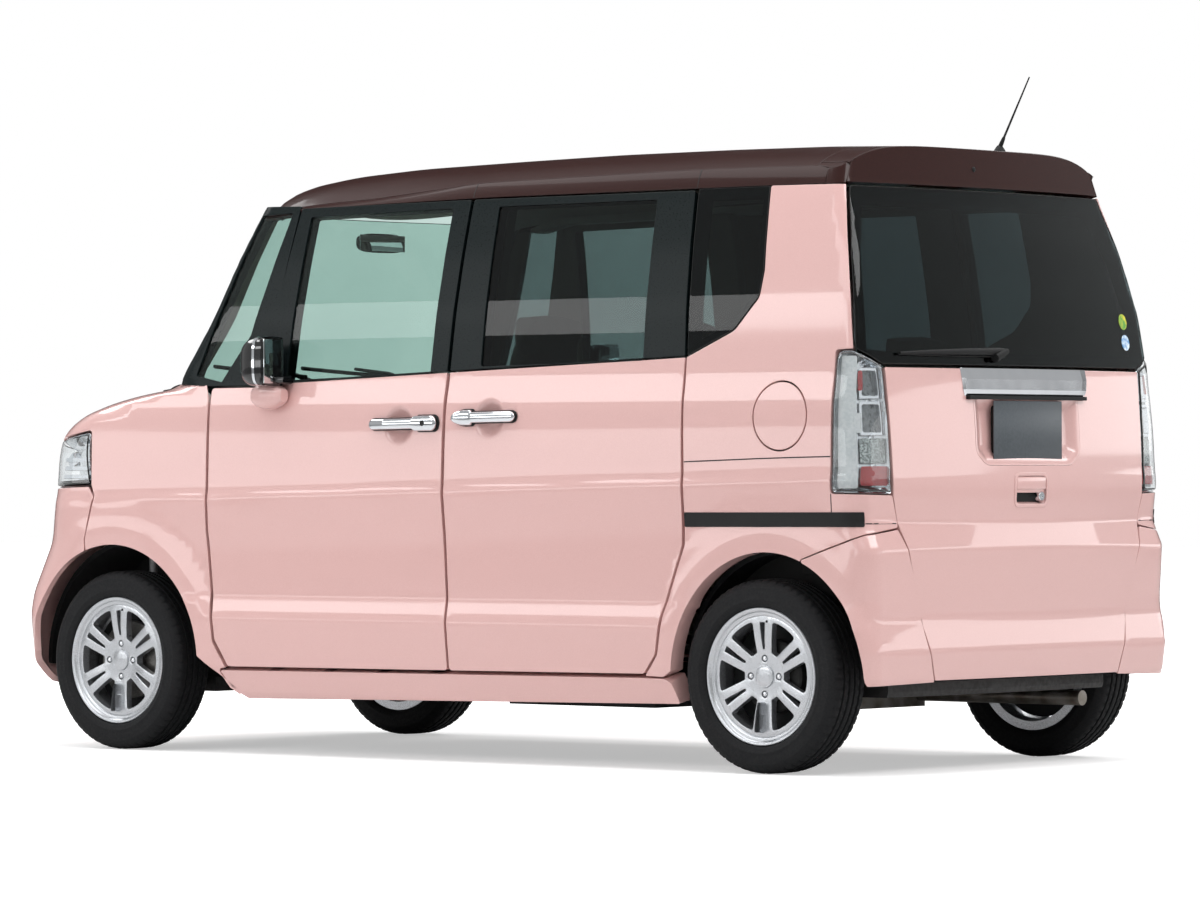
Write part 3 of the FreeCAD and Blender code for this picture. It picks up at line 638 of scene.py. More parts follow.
def linear(text):
    """sRGB hex to linear red, green, blue and full alpha."""
    parts = [int(text[i:i + 2], 16) / 255 for i in (1, 3, 5)]
    return [c / 12.92 if c <= 0.04045 else ((c + 0.055) / 1.055) ** 2.4 for c in parts] + [1.0]


def add(material, kind, links=None, **settings):
    """Adds a node with its settings; links are input name to a socket or a plain value."""
    made = material.node_tree.nodes.new(kind)
    for name, value in settings.items():
        setattr(made, name, value)
    for name, value in (links or {}).items():
        if isinstance(value, bpy.types.NodeSocket):
            material.node_tree.links.new(value, made.inputs[name])
        else:
            made.inputs[name].default_value = value
    return made


def finish(name, colour, roughness, metallic=0.0, **values):
    """New material whose uniform values sit on the shader itself."""
    material = bpy.data.materials.new(name)
    material.use_nodes = True
    shader = material.node_tree.nodes["Principled BSDF"]
    shader.inputs["Base Color"].default_value = linear(colour)
    shader.inputs["Roughness"].default_value = roughness
    shader.inputs["Metallic"].default_value = metallic
    for key, value in values.items():
        shader.inputs[key.replace("_", " ")].default_value = value
    material.diffuse_color = linear(colour)
    return material


def varied(material, colours, size, bump=0.0, kind="ShaderNodeTexNoise", rough=None, detail=2.0,
           spread=(0.35, 0.65)):
    """Gives a material a pattern of a real size in millimetres: colour, roughness and relief.

    bump is the relief's depth in millimetres.
    """
    tree = material.node_tree
    shader = tree.nodes["Principled BSDF"]
    place = add(material, "ShaderNodeTexCoord").outputs["Object"]
    texture = add(material, kind, {"Vector": place, "Scale": 1 / (size * MM)})
    if kind == "ShaderNodeTexNoise":
        texture.inputs["Detail"].default_value = detail
    value = texture.outputs[0]
    ramp = add(material, "ShaderNodeValToRGB", {"Fac": value})
    for element, at, colour in zip(ramp.color_ramp.elements, spread, colours):
        element.position = at
        element.color = linear(colour)
    tree.links.new(ramp.outputs["Color"], shader.inputs["Base Color"])
    if rough:
        spanned = add(material, "ShaderNodeMapRange",
                      {"Value": value, "From Min": spread[0], "From Max": spread[1],
                       "To Min": rough[0], "To Max": rough[1]})
        tree.links.new(spanned.outputs["Result"], shader.inputs["Roughness"])
    if bump:
        relief = add(material, "ShaderNodeBump", {"Height": value, "Distance": bump * MM, "Strength": 1.0})
        tree.links.new(relief.outputs["Normal"], shader.inputs["Normal"])
    return material


# Pearl paint on steel, sprayed and clear-coated: soft sheen, very faint flake, glassy coat.
pink_paint = varied(
    finish("pink_pearl_paint", "#D8AEAA", 0.38, 0.0, Coat_Weight=1.0, Coat_Roughness=0.04,
           Specular_IOR_Level=0.3),
    ("#D6ABA7", "#DAB1AD"), 2.5, rough=(0.36, 0.42), detail=3.0)
# Dark brown mica paint under clear coat: nearly black in shade, red-brown where light grazes it.
brown_paint = varied(
    finish("brown_mica_paint", "#2B110E", 0.45, 0.1, Coat_Weight=0.3, Coat_Roughness=0.08,
           Specular_IOR_Level=0.1),
    ("#260E0B", "#301512"), 2.5, rough=(0.41, 0.49), detail=3.0)
# Gloss black film on the window pillars: dark with a sharp reflection.
pillar_film = varied(
    finish("gloss_black_film", "#0F1718", 0.3, Specular_IOR_Level=0.15), ("#0D1516", "#111A1B"), 4.0,
    rough=(0.27, 0.34))
# Moulded black polypropylene: fine matt grain, slightly grey.
black_plastic = varied(
    finish("moulded_black_polypropylene", "#101112", 0.6, Specular_IOR_Level=0.3),
    ("#0E0F10", "#141516"), 1.6, bump=0.08, rough=(0.5, 0.7))
# Gloss black ABS, injection moulded and polished: mirror caps, grilles.
gloss_black = varied(
    finish("gloss_black_abs", "#0B0B0D", 0.08, Coat_Weight=0.6, Coat_Roughness=0.03),
    ("#0A0A0C", "#0E0E10"), 30.0, rough=(0.06, 0.08))
# EPDM rubber weather strip: soft, matt and slightly dusty. The same dark finish also draws the lines of panel
# seams, where it is painted shade of the gaps.
seal_rubber_and_gap_shade = varied(finish("epdm_seal_and_gap_shade", "#0C0C0C", 0.7), ("#0A0A0A", "#121212"), 1.5, bump=0.05)


def glazing(name, colour, shades):
    """Float glass: the tint is in its body, the surface is clean and mirrors the studio faintly."""
    return varied(finish(name, colour, 0.0, Transmission_Weight=1.0, IOR=1.3), shades, 400.0)


# Clear heat-absorbing float glass: faint green.
green_glass = glazing("green_float_glass", "#C4DAD4", ("#C2D8D2", "#C8DDD7"))
# Body-tinted privacy glass: dark grey with a green cast.
dark_glass = glazing("privacy_glass", "#5C6A6C", ("#5A686A", "#5F6D6F"))
# Ceramic frit fired on the glass edge: dense matt black.
frit = varied(finish("black_ceramic_frit", "#0A0D0C", 0.25), ("#090C0B", "#0D1110"), 2.0)
# Vacuum-metallised chrome on ABS: bright, sharp.
chrome = varied(finish("bright_chrome_plate", "#D9DCE0", 0.07, 1.0), ("#D8DBDF", "#DBDEE2"), 60.0,
                rough=(0.06, 0.08))
# Satin chrome for the lamp cells: bright with a soft roll-off.
reflector = varied(finish("metallised_reflector", "#D3D6D9", 0.16, 1.0), ("#C9CDD1", "#DFE2E4"), 3.0,
                   bump=0.12, rough=(0.12, 0.22))
# Clear polycarbonate lens with a hard coat.
lens = varied(finish("polycarbonate_lens", "#F4F7F8", 0.03, Transmission_Weight=1.0, IOR=1.45),
              ("#F2F5F6", "#F8FAFB"), 50.0)
# Red acrylic reflector: deep colour with fine prisms behind the face.
red_lens = varied(finish("red_acrylic_prisms", "#A01218", 0.15, Coat_Weight=0.8),
                  ("#7E0C12", "#B81A20"), 3.0, kind="ShaderNodeTexVoronoi", bump=0.2, spread=(0.1, 0.6))
# Cast aluminium wheel under silver lacquer: soft metallic with a fine flake.
alloy = varied(finish("silver_lacquered_alloy", "#B9BCC0", 0.28, 0.85, Coat_Weight=0.5, Coat_Roughness=0.1),
               ("#B2B5B9", "#C2C5C9"), 1.2, rough=(0.24, 0.34))
# Carbon-black tyre rubber: matt charcoal, mottled by mould release.
tyre_rubber = varied(finish("tyre_rubber", "#121315", 0.74, Specular_IOR_Level=0.3),
                     ("#0A0B0D", "#101114"), 6.0, bump=0.15, rough=(0.66, 0.84), detail=4.0)
# Painted steel underneath: black primer, dull.
black_steel = varied(finish("black_chassis_steel", "#141414", 0.55), ("#101010", "#1B1A19"), 12.0,
                     bump=0.1, rough=(0.45, 0.7), detail=4.0)
# Aluminised exhaust steel: dull silver stained brown near the joints.
exhaust_steel = varied(finish("aluminised_exhaust_steel", "#8B8781", 0.42, 0.9), ("#6E655C", "#9A9791"),
                       60.0, rough=(0.35, 0.55), detail=5.0)
# Sand-cast aluminium engine block: rough grey.
cast_metal = varied(finish("sand_cast_aluminium", "#8C8D8E", 0.55, 0.8), ("#77787A", "#9A9B9C"), 2.0,
                    bump=0.25, rough=(0.45, 0.65))
# Plain coated number plate blank: slate grey.
plate_blank = varied(finish("coated_plate_blank", "#4A5055", 0.35, 0.3), ("#474D52", "#4F555A"), 8.0,
                     rough=(0.3, 0.42))
# Flat-woven seat cloth: beige polyester yarn about 1.2 mm, drawn at 3 mm so that it shows.
seat_cloth = varied(finish("woven_seat_cloth", "#8F8478", 0.9, Sheen_Weight=0.4, Sheen_Roughness=0.5),
                    ("#7D7267", "#A2978A"), 3.0, kind="ShaderNodeTexVoronoi", bump=0.6, spread=(0.1, 0.7))
# Trim moulding of the cabin: warm light grey polypropylene, fine leather-like grain.
cabin_trim = varied(finish("grained_cabin_trim", "#8E867B", 0.65), ("#877F74", "#968E83"), 2.0,
                    bump=0.1, rough=(0.58, 0.72))
# Headlining: pressed felt, pale and fuzzy.
headliner = varied(finish("felt_headlining", "#C9C3B8", 0.95, Sheen_Weight=0.3), ("#C3BDB2", "#D0CABF"), 3.0,
                   bump=0.15)
# Dark upper trim of the dashboard.
dash_plastic = varied(finish("grained_dashboard", "#35322F", 0.7), ("#302D2A", "#3B3835"), 2.0, bump=0.1)
carpet = varied(finish("needle_felt_carpet", "#26241F", 0.98, Sheen_Weight=0.3), ("#1F1D19", "#2F2C27"),
                3.0, bump=0.5, detail=5.0)
# Grey cast iron brake disc: dull, with the fine circular marks of the pad.
turned_iron = varied(finish("turned_cast_iron", "#6E6C69", 0.4, 0.9), ("#5F5D5A", "#7C7A77"), 4.0,
                     rough=(0.32, 0.5), detail=4.0)
# Opal light guide of the tail lamp: milky white acrylic.
diffuser = varied(finish("opal_acrylic_guide", "#E9EDEE", 0.25, Coat_Weight=0.6), ("#E2E7E8", "#F1F4F4"), 9.0,
                  bump=0.2)
# Smoked inner shell of the lamps: grey with a soft sheen.
smoked_cell = varied(finish("smoked_lamp_shell", "#7C8183", 0.3, 0.3), ("#6C7173", "#8C9193"), 12.0,
                     rough=(0.25, 0.4))
# Moulded pyramid optics: facets a few millimetres wide, whose dark and light sparkle is painted into the
# colour as painted highlights and reflections, over a real relief.
painted_sparkle_optics = varied(finish("pyramid_optics_painted_sparkle", "#7E8886", 0.12, 0.6), ("#20282A", "#C9D2D0"), 5.0,
                 kind="ShaderNodeTexVoronoi", bump=1.2, spread=(0.15, 0.75))
# Silvered mirror glass.
silvered_glass = varied(finish("silvered_glass", "#D8DEE0", 0.02, 1.0), ("#D5DBDD", "#DBE1E3"), 60.0)
green_vinyl = varied(finish("printed_green_vinyl", "#3C9A3C", 0.4), ("#E8D83A", "#3C9A3C"), 22.0)
blue_vinyl = varied(finish("printed_blue_vinyl", "#6FB0DE", 0.4), ("#4A93CC", "#E9F3FA"), 14.0)

# ---------------------------------------------------------------- body panels on the skin

SIDES = (("left", False), ("right", True))


def panel(name, bodies, surface, outline, material, holes=(), inner=None, edge_material=None, radius=6.0,
          depth=14.0, mirrored=True, sides=SIDES, **shape):
    """Thick panel cut out of a surface, and its twin on the right unless it spans both sides.

    bodies is the body it rides on, with {} for the side.
    """
    materials = [material, edge_material or material, inner or material]
    patch = Patch().add(surface, rounded(outline, radius), [rounded(h, radius) for h in holes],
                        depth=depth, slots=(0, 1, 2), **shape)
    return [patch.make(f"{name}_{side}".rstrip("_"), bodies.format(side), materials, mirror)
            for side, mirror in (sides if mirrored else (("", False),))]


def across(name, body, surface, half, material, holes=(), radius=0, **shape):
    """Panel over the middle, from the left half of its outline and of its holes."""
    panel(name, body, surface, both_sides(half), material, [both_sides(hole) for hole in holes],
          mirrored=False, radius=radius, **shape)


def disc(a, z, radius):
    """Outline of a small round piece."""
    return ring(a, z, radius, radius, 0, 350, 35)


def nose_face(y, z):
    """x of the nose's face at a place."""
    return float(around_nose(y, z)[0])


def tail_u(y, z):
    """u of a place on the tail's corner or face."""
    return u_at(z, y=y)


def arch(which, start, end, grow=0.0):
    """Edge of a wheel-arch opening between two angles, 0 pointing forward."""
    along, up, _, _, long_half, high_half = ARCHES[which]
    return ring(along, up, long_half + grow, high_half + grow, start, end, 40).tolist()


def lip_rings(which, start, end):
    """Close rows of points along the turn of an arch's lip."""
    along, up, _, _, long_half, high_half = ARCHES[which]
    return [ring(along, up, long_half + off, high_half + off, start, end, 60) for off in (LIP - 2, LIP + 2)]


WALL = 88                # doors and lower body are this thick
FRAME = 42               # window frames and pillars

HANDLES = (
    # name, body, front end, rear end, height, cap at the front, has a keyhole
    ("front_handle", "front_door_{}", 176, -92, 989, False, True),
    ("slide_handle", "body", -150, -392, 1006, True, False),
)
CUP = 60                 # half width of the hollow behind a handle
FRONT_CUP, SLIDE_CUP = (66, 987), (-286, 1004)      # middles of the hollows


def cupped(cup):
    """The skin with the hollow for the fingers behind a door handle."""
    return sunk(skin, ring(*cup, CUP, CUP), 17, 40)


# front door: pressed skin below the belt, blacked-out frame above it
FRONT_BELT = [(838, 1106), (640, 1106), (600, 1113), (531, 1117), (-109.5, 1141, 0)]
panel("front_door_skin", "front_door_{}", cupped(FRONT_CUP),
      FRONT_BELT + [(-101.5, 825, 0), (-119.5, 267), (765, 262), (815, 343, 30), (827, 464, 0),
                    (843, 675, 0), (838, 1008, 0)],
      pink_paint, inner=cabin_trim, depth=WALL, rows=(268, 400, 412, 470, 484, 780, 790, 800, 812), radius=14,
      extra=[dense(*FRONT_CUP, CUP + 4, 5)])
panel("front_door_frame", "front_door_{}", skin,
      [(634, 1107), (600, 1114), (531, 1118), (-109.5, 1142), (-131.5, 1649, 10), (545, 1643, 10)],
      pillar_film, holes=[[(500, 1612), (-62, 1622), (-40, 1142), (533, 1126)]], inner=cabin_trim,
      depth=FRAME, gap=2.0)
panel("front_door_pane", "front_door_{}", skin,
      [(504, 1616), (-66, 1626), (-44, 1138), (537, 1122)], green_glass, edge_material=seal_rubber_and_gap_shade,
      depth=4, sink=5, gap=0.0)

# sliding door
panel("sliding_door_skin", "body", cupped(SLIDE_CUP),
      [(-117.5, 1141, 0), (-1003, 1173, 0), (-1008, 712, 0), (-1005, 640, 30), (-929, 440, 60),
       (-909, 330, 30), (-862, 272, 12), (-123.5, 267), (-108.5, 825, 0)],
      pink_paint, inner=cabin_trim, depth=WALL, rows=(268, 400, 412, 470, 484, 790, 800, 810, 820), radius=14,
      extra=[dense(*SLIDE_CUP, CUP + 4, 5)])
panel("sliding_door_frame", "body", skin,
      [(-117.5, 1142), (-139.5, 1649, 10), (-976, 1649, 10), (-1003, 1174)],
      pillar_film, holes=[[(-244, 1622), (-838, 1624), (-846, 1168), (-239, 1157)]], inner=cabin_trim,
      depth=FRAME, gap=2.0)
panel("sliding_door_glass", "body", skin,
      [(-240, 1626), (-842, 1628), (-850, 1164), (-235, 1153)], dark_glass, edge_material=seal_rubber_and_gap_shade,
      depth=4, sink=5, gap=0.0)

# sill under both doors
panel("sill", "body", skin,
      [(803, 253), (-120, 259), (-868, 263), (-940, 262), (-962, 250), (-985, 189), (700, 167), (760, 200)],
      pink_paint, depth=70, rows=(178, 250), gap=1.5)

# front fender, wrapping over its top to the bonnet
bonnet_side = [on_fender(x, float(np.interp(x, (1122, 1250, 1400, 1450), (603, 600, 593, 580))))
               for x in np.linspace(1122, 1450, 20)]
panel("front_fender_skin", "body", fender_skin,
      [(700, 168), (764, 203), (805, 256), (773, 258, 3), (821, 338), (834, 464, 0), (849, 675, 0),
       (844, 1008, 0), (844, FENDER_TURN + 8), (880, FENDER_TURN + 30)] +
      bonnet_side + [(1480, 1000), (1500, 952), (1336, 978), (1336, 811), (1322, 774), (1362, 642)] +
      arch(0, 71.5, 176),
      pink_paint, depth=22, columns=(1336,), rows=(1014, 1018, 1022, 1026, 1034, 1044), radius=8,
      extra=lip_rings(0, 60, 185))

# rear quarter: from the sliding door round the arch to the tail lamp, and up the rear pillar
QUARTER_BACK = [(-1246, 1655), (-1262, 1414, 0), (-1254, 1338, 40), (-1174, 1246, 60), (-1050, 1192, 40)]
QUARTER_SIGHT = [(-1008, 1628), (-1224, 1628), (-1238, 1414, 0), (-1230, 1348, 34), (-1162, 1268, 54),
                 (-1050, 1220, 34), (-1024, 1206)]
FLAP_X, FLAP_Z = -1357.5, 1003
FLAP_EDGE = ring(FLAP_X, FLAP_Z, 95, 97).tolist()
pillar_edge = [(u_at(z, x=x), z, 0) for x, z in ((-1596, 1186), (-1577, 1323), (-1548, 1463), (-1500, 1652))]
QUARTER = ([(-1006, 1173, 0), (-1014, 712, 0), (-1011, 640, 30), (-935, 440, 60), (-915, 330, 30),
            (-868, 273, 8), (-868, 266), (-938, 264)] + arch(1, 2, 112) +
           [(-1435, 602), (-1645, 672, 10), (tail_u(580, 690), 690), (tail_u(604, 778), 783), (-1541, 788),
            (-1541, 1184), (u_at(1186, x=-1594), 1186, 4)] + pillar_edge + QUARTER_BACK)
for side, holes in zip(SIDES, ([FLAP_EDGE], [])):        # only the left one has the fuel flap
    panel("rear_quarter", "body", skin, QUARTER, pink_paint, holes=holes, inner=cabin_trim, depth=60,
          rows=(700, 790, 800, 812, 822), radius=8, extra=lip_rings(1, 0, 120), sides=(side,))
QUARTER_LIGHT = [(-983, 1655)] + QUARTER_BACK + [(-1006, 1173)]
panel("rear_quarter_frame", "body", skin, QUARTER_LIGHT, frit, holes=[QUARTER_SIGHT], inner=cabin_trim,
      depth=40, sink=7, gap=-0.5)
panel("rear_quarter_glass", "body", skin, QUARTER_LIGHT, dark_glass, edge_material=seal_rubber_and_gap_shade,
      depth=4, sink=2, gap=3.0)
panel("fuel_flap_door", "fuel_flap", skin, FLAP_EDGE, pink_paint, depth=10,
      mirrored=False, radius=0)

# rear bumper corner
panel("rear_corner", "body", skin,
      [(tail_u(583, 688), 686), (tail_u(561, 631), 631), (tail_u(467, 333), 333), (tail_u(444, 263), 258),
       (-1650, 252), (-1646, 262)] + arch(1, 179, 112.6) + [(-1435, 600.5), (-1645, 670.5, 10)],
      pink_paint, depth=24, rows=(346, 435, 631, 640), gap=0.6,
      extra=lip_rings(1, 95, 180))

# rear wheel arch behind the tyre: its inner wall, and the liner that closes it above


def arch_wall(x, z):
    return np.stack(np.broadcast_arrays(x, 548.0, z), -1)


def arch_liner(a, y):
    """The arch's round, a little outside the opening: a runs back from its top, y across."""
    along, up, _, _, long_half, high_half = ARCHES[1]
    turn = np.pi / 2 + np.asarray(a, float) / (long_half + 11)
    return np.stack(np.broadcast_arrays(along + (long_half + 11) * np.cos(turn), y,
                                        up + (high_half + 11) * np.sin(turn)), -1)


panel("rear_arch_liner", "body", arch_liner, [(-30, 545), (555, 545), (555, 704), (-30, 704)], black_plastic,
      depth=4, gap=0.0, radius=0)
panel("rear_arch_wall", "body", arch_wall, arch(1, 88, 178, grow=10) + arch(1, 178, 88, grow=-62),
      black_plastic, depth=4, gap=0.0, radius=0)

# tailgate
TAILGATE_LOWER = [(612, 1139), (603, 778), (581, 704, 20), (560, 631, 20), (466, 333), (443, 261)]
PLATE_RECESS = [(250, 1060, 10), (250, 900, 40), (205, 866, 45)]
HANDLE_RECESS = [(74, 836, 14), (74, 752, 14)]
across("tailgate_skin", "tailgate", around_tail, TAILGATE_LOWER, pink_paint,
       holes=[PLATE_RECESS, HANDLE_RECESS], inner=cabin_trim, depth=60,
       rows=(346, 435, 624, 638, 697, 711), radius=6)
glass_edge = [(u_at(z, x=x) - tail_centre(z), z) for x, z in
              ((-1503, 1648), (-1548, 1463), (-1577, 1323), (-1595, 1188))]
GLASS_HALF = [(a - 5, z, 0) for a, z in glass_edge] + [(616, 1146)]
GLASS_HALF[0] = (GLASS_HALF[0][0], 1648, 14)
across("tailgate_glass_pane", "tailgate", around_tail, GLASS_HALF, dark_glass,
       edge_material=seal_rubber_and_gap_shade, depth=5, sink=1.5, gap=1.0, radius=6)
SIGHT = [(a - 42, z, 0) for a, z in glass_edge] + [(570, 1182)]
SIGHT[0] = (SIGHT[0][0], 1606, 30)
SIGHT[-1] = (*SIGHT[-1][:2], 30)
across("tailgate_frame", "tailgate", around_tail, [(a - 8, z, 0) for a, z, *_ in GLASS_HALF],
       frit, holes=[SIGHT], depth=40, sink=7.5, gap=1.0, radius=6)

# front end


def nose_a(z, x):
    """Way from the middle of the nose to a place on the side."""
    return nose_centre(z) - u_at(z, x=x, end="front")


LAMP_INNER = 440         # way from the middle to the headlamp's inner edge
FRONT_LAMP_LOW = 795     # height of the headlamp's lower edge
bumper_half = [(LAMP_INNER, FRONT_LAMP_LOW - 3), (nose_a(808, 1346), 808), (nose_a(774, 1322), 774),
               (nose_a(642, 1362), 642)]
bumper_half += [(nose_centre(z) - x, z) for x, z in arch(0, 71, 4)]
bumper_half += [(nose_a(215, 1600), 200), (520, 178)]
across("front_bumper_skin", "body", around_nose, bumper_half, pink_paint,
       holes=[[(400, 440, 30), (430, 300, 30)]], depth=20, rows=(300, 440), radius=4)
BONNET_HALF = [(1116, 598), (1250, 595), (1400, 588), (1450, 575), (1500, 545)]


# its front edge follows the nose a little above the lamps
bonnet_line = BONNET_HALF + [(nose_face(y, 984), y) for y in range(480, 0, -60)]
bonnet_line += [(x, -y) for x, y in bonnet_line[::-1]]
panel("bonnet_skin", "bonnet", bonnet_top, bonnet_line, pink_paint, inner=black_steel, depth=14,
      mirrored=False, radius=0, spacing=20)


def nose_place(x, y):
    """Way from the middle of the nose, and height, of a plan place on its upper corner."""
    z = float(top(x, y))
    return nose_centre(z) - u_at(z, y=y, end="front"), z


across("nose_strip", "body", around_nose,
       [(480, 982), nose_place(1500, 546), nose_place(1450, 578), (nose_centre(1000) - 1481, 1000),
        (nose_centre(952) - 1501, 952), (nose_a(942, 1502), 948), (LAMP_INNER, 908)],
       pink_paint, depth=16, gap=1.2)
base_line = [(nose_face(y, SCUTTLE_TOP) + 2, y) for y in range(597, -598, -49)]
panel("scuttle", "body", bonnet_top, [(1114, 597), *base_line, (1114, -597)], black_plastic,
      depth=8, sink=3, gap=0.5, mirrored=False, radius=0, spacing=16)

# roof crown and its side bands
roof_half = [(795 - 75 * (y / 560) ** 2, y) for y in range(0, 560, 70)] + [(720, 560)]
roof_half += [(x, float(BAND_HIGH(x))) for x in (640, 560, 490, 400, 250, 0, -400, -800, -1200, -1396)]
roof_line = roof_half[1:] + [(x, -y) for x, y in roof_half[:0:-1]] + [roof_half[0]]
panel("roof_crown", "body", roof_top, roof_line, brown_paint, inner=headliner, depth=30, mirrored=False,
      radius=0, gap=0.5, spacing=30)
BAND_END = -1440         # where the band ends and the skin's own corner carries on
panel("roof_band", "body", roof_side, [(730, 0), (730, BAND), (BAND_END, BAND), (BAND_END, 0)],
      brown_paint, depth=24, gap=0.3, rows=(12, 30, 48), radius=0, spacing=30)


def rim_height(surface, a):
    """Height at which the skin meets the roof's top."""
    low, high = 1640.0, 1790.0
    for _ in range(24):
        mid = (low + high) / 2
        x, y, z = surface(a, mid)
        low, high = (mid, high) if roof_height(x, y) > z else (low, mid)
    return low


# dark strips across the roof band where the door gaps run: painted shade of the gaps
for number, x in enumerate((-136, -980)):
    seam = [(x - 1.3, 1), (x + 1.3, 1), (x + 1.3, BAND), (x - 1.3, BAND)]
    panel(f"roof_band_seam_{number}", "body", roof_side, seam, seal_rubber_and_gap_shade, depth=3, sink=-0.4, gap=0.0,
          edge=0.2, radius=0, spacing=12)
SPOILER_END = -1498      # x of the seam between the roof's corner and the spoiler
SPOILER_LOW = 1656
corner_line = [(u, rim_height(skin, u)) for u in np.linspace(BAND_END, u_at(1700, x=SPOILER_END), 7)]
panel("roof_corner", "body", skin,
      [(BAND_END, SPOILER_LOW - 3), (u_at(SPOILER_LOW, x=SPOILER_END), SPOILER_LOW - 3)] + corner_line[::-1],
      brown_paint, depth=24, gap=0.8, radius=0, spacing=20)
spoiler_side = u_at(1700, x=SPOILER_END) - tail_centre(1700)
spoiler_rim = [(a, rim_height(around_tail, a)) for a in np.linspace(spoiler_side, 0, 20)]
spoiler_face = both_sides([(u_at(SPOILER_LOW, x=SPOILER_END) - tail_centre(SPOILER_LOW), SPOILER_LOW)] +
                          spoiler_rim[:-1])
panel("spoiler_face", "tailgate", around_tail, spoiler_face, brown_paint, depth=30, gap=0.8, mirrored=False,
      radius=0, spacing=20)
rim_plan = [tuple(around_tail(a, z)[:2]) for a, z in spoiler_rim]
spoiler_plan = [(-1398, 585), (-1480, 585)] + [(x, y) for x, y in rim_plan if y < 585]
panel("spoiler_top", "tailgate", roof_top, spoiler_plan + [(x, -y) for x, y in spoiler_plan[-2::-1]],
      brown_paint, depth=24, mirrored=False, radius=0, gap=0.5, spacing=20)
corner_plan = [tuple(skin(u, z)[:2]) for u, z in corner_line]
panel("roof_corner_top", "body", roof_top,
      [(-1396, 587), (-1396, 602)] + corner_plan + [(corner_plan[-1][0], 587)], brown_paint, depth=20,
      radius=0, gap=0.5, spacing=20)

# windscreen and its pillars
SCREEN_HALF = [(560, 1632, 40), (628, 1128, 30)]
across("windscreen_pane", "body", around_nose, SCREEN_HALF, green_glass,
       edge_material=seal_rubber_and_gap_shade, depth=5, sink=3, gap=1.0, radius=6)
QUARTER_FRONT = [(580, 1628), (708, 1622), (905, 1142), (800, 1122), (692, 1263)]


def screen_edge(z):
    """u of the windscreen's side edge."""
    return nose_centre(z) - (628 - (z - 1128) * 68 / 504)


panel("front_pillar", "body", skin,
      [(549, 1649), (618, 1115), (646, 1109), (850, 1109), (screen_edge(1128) - 6, 1120)] +
      [(screen_edge(z), z, 0) for z in (1128, 1300, 1470, 1632)] + [(screen_edge(1632), 1650), (700, 1652)],
      pillar_film, holes=[QUARTER_FRONT], depth=36, inner=cabin_trim, radius=4, gap=1.0)
panel("front_quarter_pane", "body", skin,
      [(576, 1632), (712, 1626), (911, 1138), (796, 1118), (688, 1263)], green_glass,
      edge_material=seal_rubber_and_gap_shade, depth=4, sink=5, gap=0.0)

# ---------------------------------------------------------------- solid pieces


def lathe(profile, steps=72, lift=None, closed=False):
    """Full turn of (radius, along) points about the Y axis.

    lift gives a change of radius from a point's turn number, radius and place along the axis.
    A profile that starts or ends on the axis is closed there with one point.
    """
    verts, faces, count = [], [], len(profile)
    for k in range(steps):
        angle = 2 * math.pi * k / steps
        for radius, along in profile:
            r = radius + (lift(k, radius, along) if lift else 0)
            verts.append((r * math.cos(angle), along, r * math.sin(angle)))
    for k in range(steps):
        here, after = k * count, (k + 1) % steps * count
        for i in range(count if closed else count - 1):
            j = (i + 1) % count
            faces.append((here + i, after + i, after + j, here + j))
    for i in () if closed else (0, count - 1):
        faces.append(tuple(range(i, steps * count, count)))
    return np.array(verts), faces


def block(low, high, bevel=3.0, segments=3):
    """Box with rounded edges between two corners."""
    low, high = np.array(low, float), np.array(high, float)
    shape = bmesh.new()
    bmesh.ops.create_cube(shape, size=1.0)
    for v in shape.verts:
        v.co = Vector((low + high) / 2 + np.array(v.co) * (high - low))
    bmesh.ops.bevel(shape, geom=list(shape.edges), offset=bevel, segments=segments, profile=0.5,
                    affect="EDGES")
    verts = np.array([tuple(v.co) for v in shape.verts])
    faces = [tuple(v.index for v in f.verts) for f in shape.faces]
    shape.free()
    return verts, faces


def rod(points, radius, steps=12):
    """Round bar along a line of points; radius is one number, or one for each point."""
    points = np.array(points, float)
    radii = np.broadcast_to(radius, (len(points),))
    ways = np.gradient(points, axis=0)
    rings = []
    for point, way, r in zip(points, ways, radii):
        way = way / np.linalg.norm(way)
        across = np.cross(way, (0, 0, 1) if abs(way[2]) < 0.95 else (1, 0, 0))
        across /= np.linalg.norm(across)
        rise = np.cross(way, across)
        turns = np.linspace(0, 2 * math.pi, steps, endpoint=False)[:, None]
        rings.append(point + r * (across * np.cos(turns) + rise * np.sin(turns)))
    return joined_rings(rings)


def loft(sections, power=0.7, steps=24):
    """Closed form through (centre, half height, half depth) sections that lie across X."""
    turns = np.linspace(0, 2 * math.pi, steps, endpoint=False)
    round_y = np.sign(np.cos(turns)) * np.abs(np.cos(turns)) ** power
    round_z = np.sign(np.sin(turns)) * np.abs(np.sin(turns)) ** power
    rings = [np.stack([0 * turns + centre[0], centre[1] + deep * round_y, centre[2] + high * round_z], -1)
             for centre, high, deep in sections]
    return joined_rings(rings)


def joined_rings(rings):
    """Closed skin through rings of as many points each."""
    count, last = len(rings[0]), len(rings) - 1
    faces = [tuple(range(count)), tuple(range(last * count, (last + 1) * count))]
    for k in range(last):
        for i in range(count):
            j = (i + 1) % count
            faces.append((k * count + i, k * count + j, (k + 1) * count + j, (k + 1) * count + i))
    return np.concatenate(rings), faces


def moved(part, shift=(0, 0, 0), turn=None):
    """A part turned about its origin and then moved, its material place kept."""
    verts = part[0] if turn is None else part[0] @ np.array(turn).T
    return (verts + np.array(shift, float), *part[1:])


